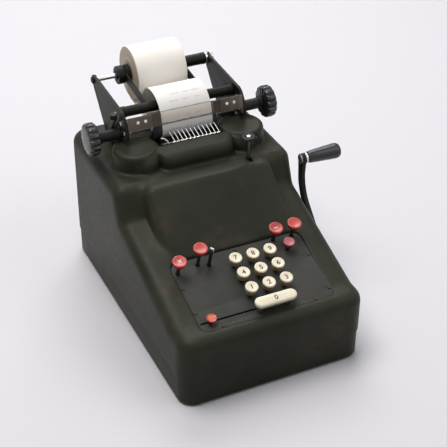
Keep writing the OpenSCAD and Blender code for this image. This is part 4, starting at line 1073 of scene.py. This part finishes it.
def release():
    """Release lever outside the left roll arm, and a thin lighter olive disc on its top, a painted highlight."""
    softened("paper_release", "release_lever", "release", "arm", width=0.3)
    b = Build()
    b.lathe([(0, 2.6), (3.6, 2.6), (3.75, 2.8), (3.6, 3.0), (3.0, 3.0), (0, 3.0)],
            upright(-74.9, PLATEN_Y + 1, PLATEN_Z + 20), 32)
    piece("release_cap", b.done(), "release", "cap", ())


def deck_lever():
    """Stem with its slide below the deck, flat black disc and bright middle."""
    b = Build()
    top = upright(51, 172.5, DECK + 23.5)
    b.material = 1
    b.rod(1.7, -27.5, 0.2, top, 24)
    b.box((-5, -3.5, -30.1), (5, 3.5, -27.1), top)
    b.material = 0
    b.lathe([(0, 0), (7.6, 0), (8.3, 0.4), (8.5, 1.0), (8.3, 1.7), (7.4, 2.3), (5.5, 2.6), (4.4, 2.5), (4.0, 2.3),
             (0, 2.3)], top, 56)
    b.material = 2
    b.lathe([(0, 2.2), (2.6, 2.2), (2.5, 2.6), (2.0, 2.9), (1.1, 3.0), (0, 3.0)], top, 32)
    piece("deck_button", b.done(), "lever", ["black", "stem", "bright"], ("deck_lever",))


release()
deck_lever()

# CAD nodes that stay as they are, in a material of the scene
for mat, names in {
    "steel": "foot_screws key_guide_plate left_side_frame right_side_frame cross_shafts main_shaft lift_lever "
             "type_bars pin_carriage",
    "brass": "key_springs shaft_bushes adding_wheels",
    "plastic": "left_ribbon_spool right_ribbon_spool",
    "plate": "plate_screws", "bright": "carriage_rails", "ribbon": "ink_ribbon", "rubber": "pressure_roller",
}.items():
    for name in names.split():
        mesh = nodes[name].data
        if not mesh.materials:
            mesh.materials.append(M[mat])
        for holder in nodes[name].material_slots:
            holder.material = M[mat]


# ---------------------------------------------------------------- stage, light and camera


def stage():
    """A pale floor that turns up into a backdrop, in metres."""
    floor = bpy.data.meshes.new("floor")
    s, back, high, bend = 3.0, 1.9, 2.4, 0.6
    points = [(-s, -s, 0), (s, -s, 0)]
    for k in range(13):
        a = math.pi / 2 * k / 12
        points += [(x, back - bend + bend * math.sin(a), bend - bend * math.cos(a)) for x in (-s, s)]
    points += [(-s, back, high), (s, back, high)]
    faces = [(2 * i, 2 * i + 1, 2 * i + 3, 2 * i + 2) for i in range(len(points) // 2 - 1)]
    floor.from_pydata(points, [], faces)
    for polygon in floor.polygons:
        polygon.use_smooth = True
    obj = placed("floor", floor)
    floor.materials.append(flat("pale_floor", (0.69, 0.68, 0.715), 0.9))


def lamp(name, place, target, size, power, colour=(1, 1, 1)):
    data = bpy.data.lights.new(name, "AREA")
    data.shape = "DISK"
    data.size = size
    data.energy = power
    data.color = colour
    obj = placed(name, data)
    obj.location = place
    obj.rotation_euler = (Vector(target) - obj.location).to_track_quat("-Z", "Y").to_euler()


def light():
    world = bpy.data.worlds.new("studio")
    bpy.context.scene.world = world
    world.use_nodes = True
    tree = world.node_tree
    tree.nodes["Background"].inputs["Color"].default_value = (0.97, 0.96, 1.0, 1)
    # Dim as a light, pale where it is looked at, mirrored or seen through something clear
    path = tree.nodes.new("ShaderNodeLightPath")
    seen = path.outputs["Is Camera Ray"]
    for ray in ("Is Glossy Ray", "Is Transmission Ray"):
        both = tree.nodes.new("ShaderNodeMath")
        both.operation = "MAXIMUM"
        tree.links.new(seen, both.inputs[0])
        tree.links.new(path.outputs[ray], both.inputs[1])
        seen = both.outputs[0]
    level = tree.nodes.new("ShaderNodeMapRange")
    level.inputs["To Min"].default_value = 0.18
    level.inputs["To Max"].default_value = 0.8
    tree.links.new(seen, level.inputs["Value"])
    tree.links.new(level.outputs["Result"], tree.nodes["Background"].inputs["Strength"])
    lamp("key_light", (-0.5, 0.2, 2.1), (0, 0, 0.08), 1.3, 31, (1.0, 0.98, 0.95))
    lamp("fill_light", (1.2, -0.9, 1.7), (0, 0, 0.08), 1.6, 8, (0.97, 0.98, 1.0))
    lamp("back_light", (0.5, 1.3, 1.7), (0, 0, 0.15), 1.4, 22)


def camera():
    """The camera's place, axes and lens as fitted to the photo."""
    data = bpy.data.cameras.new("camera")
    data.lens = 92.86
    data.sensor_width = 36.0
    data.sensor_fit = "HORIZONTAL"
    data.clip_end = 20
    obj = placed("camera", data)
    turn = Matrix(((0.90506, 0.23381, -0.35523), (-0.42520, 0.51268, -0.74590), (0.00772, 0.82613, 0.56342))).to_4x4()
    obj.matrix_world = Matrix.Translation((-0.43996, -0.92238, 0.77686)) @ turn
    bpy.context.scene.camera = obj


stage()
light()
camera()
bpy.context.scene.view_settings.view_transform = "Standard"
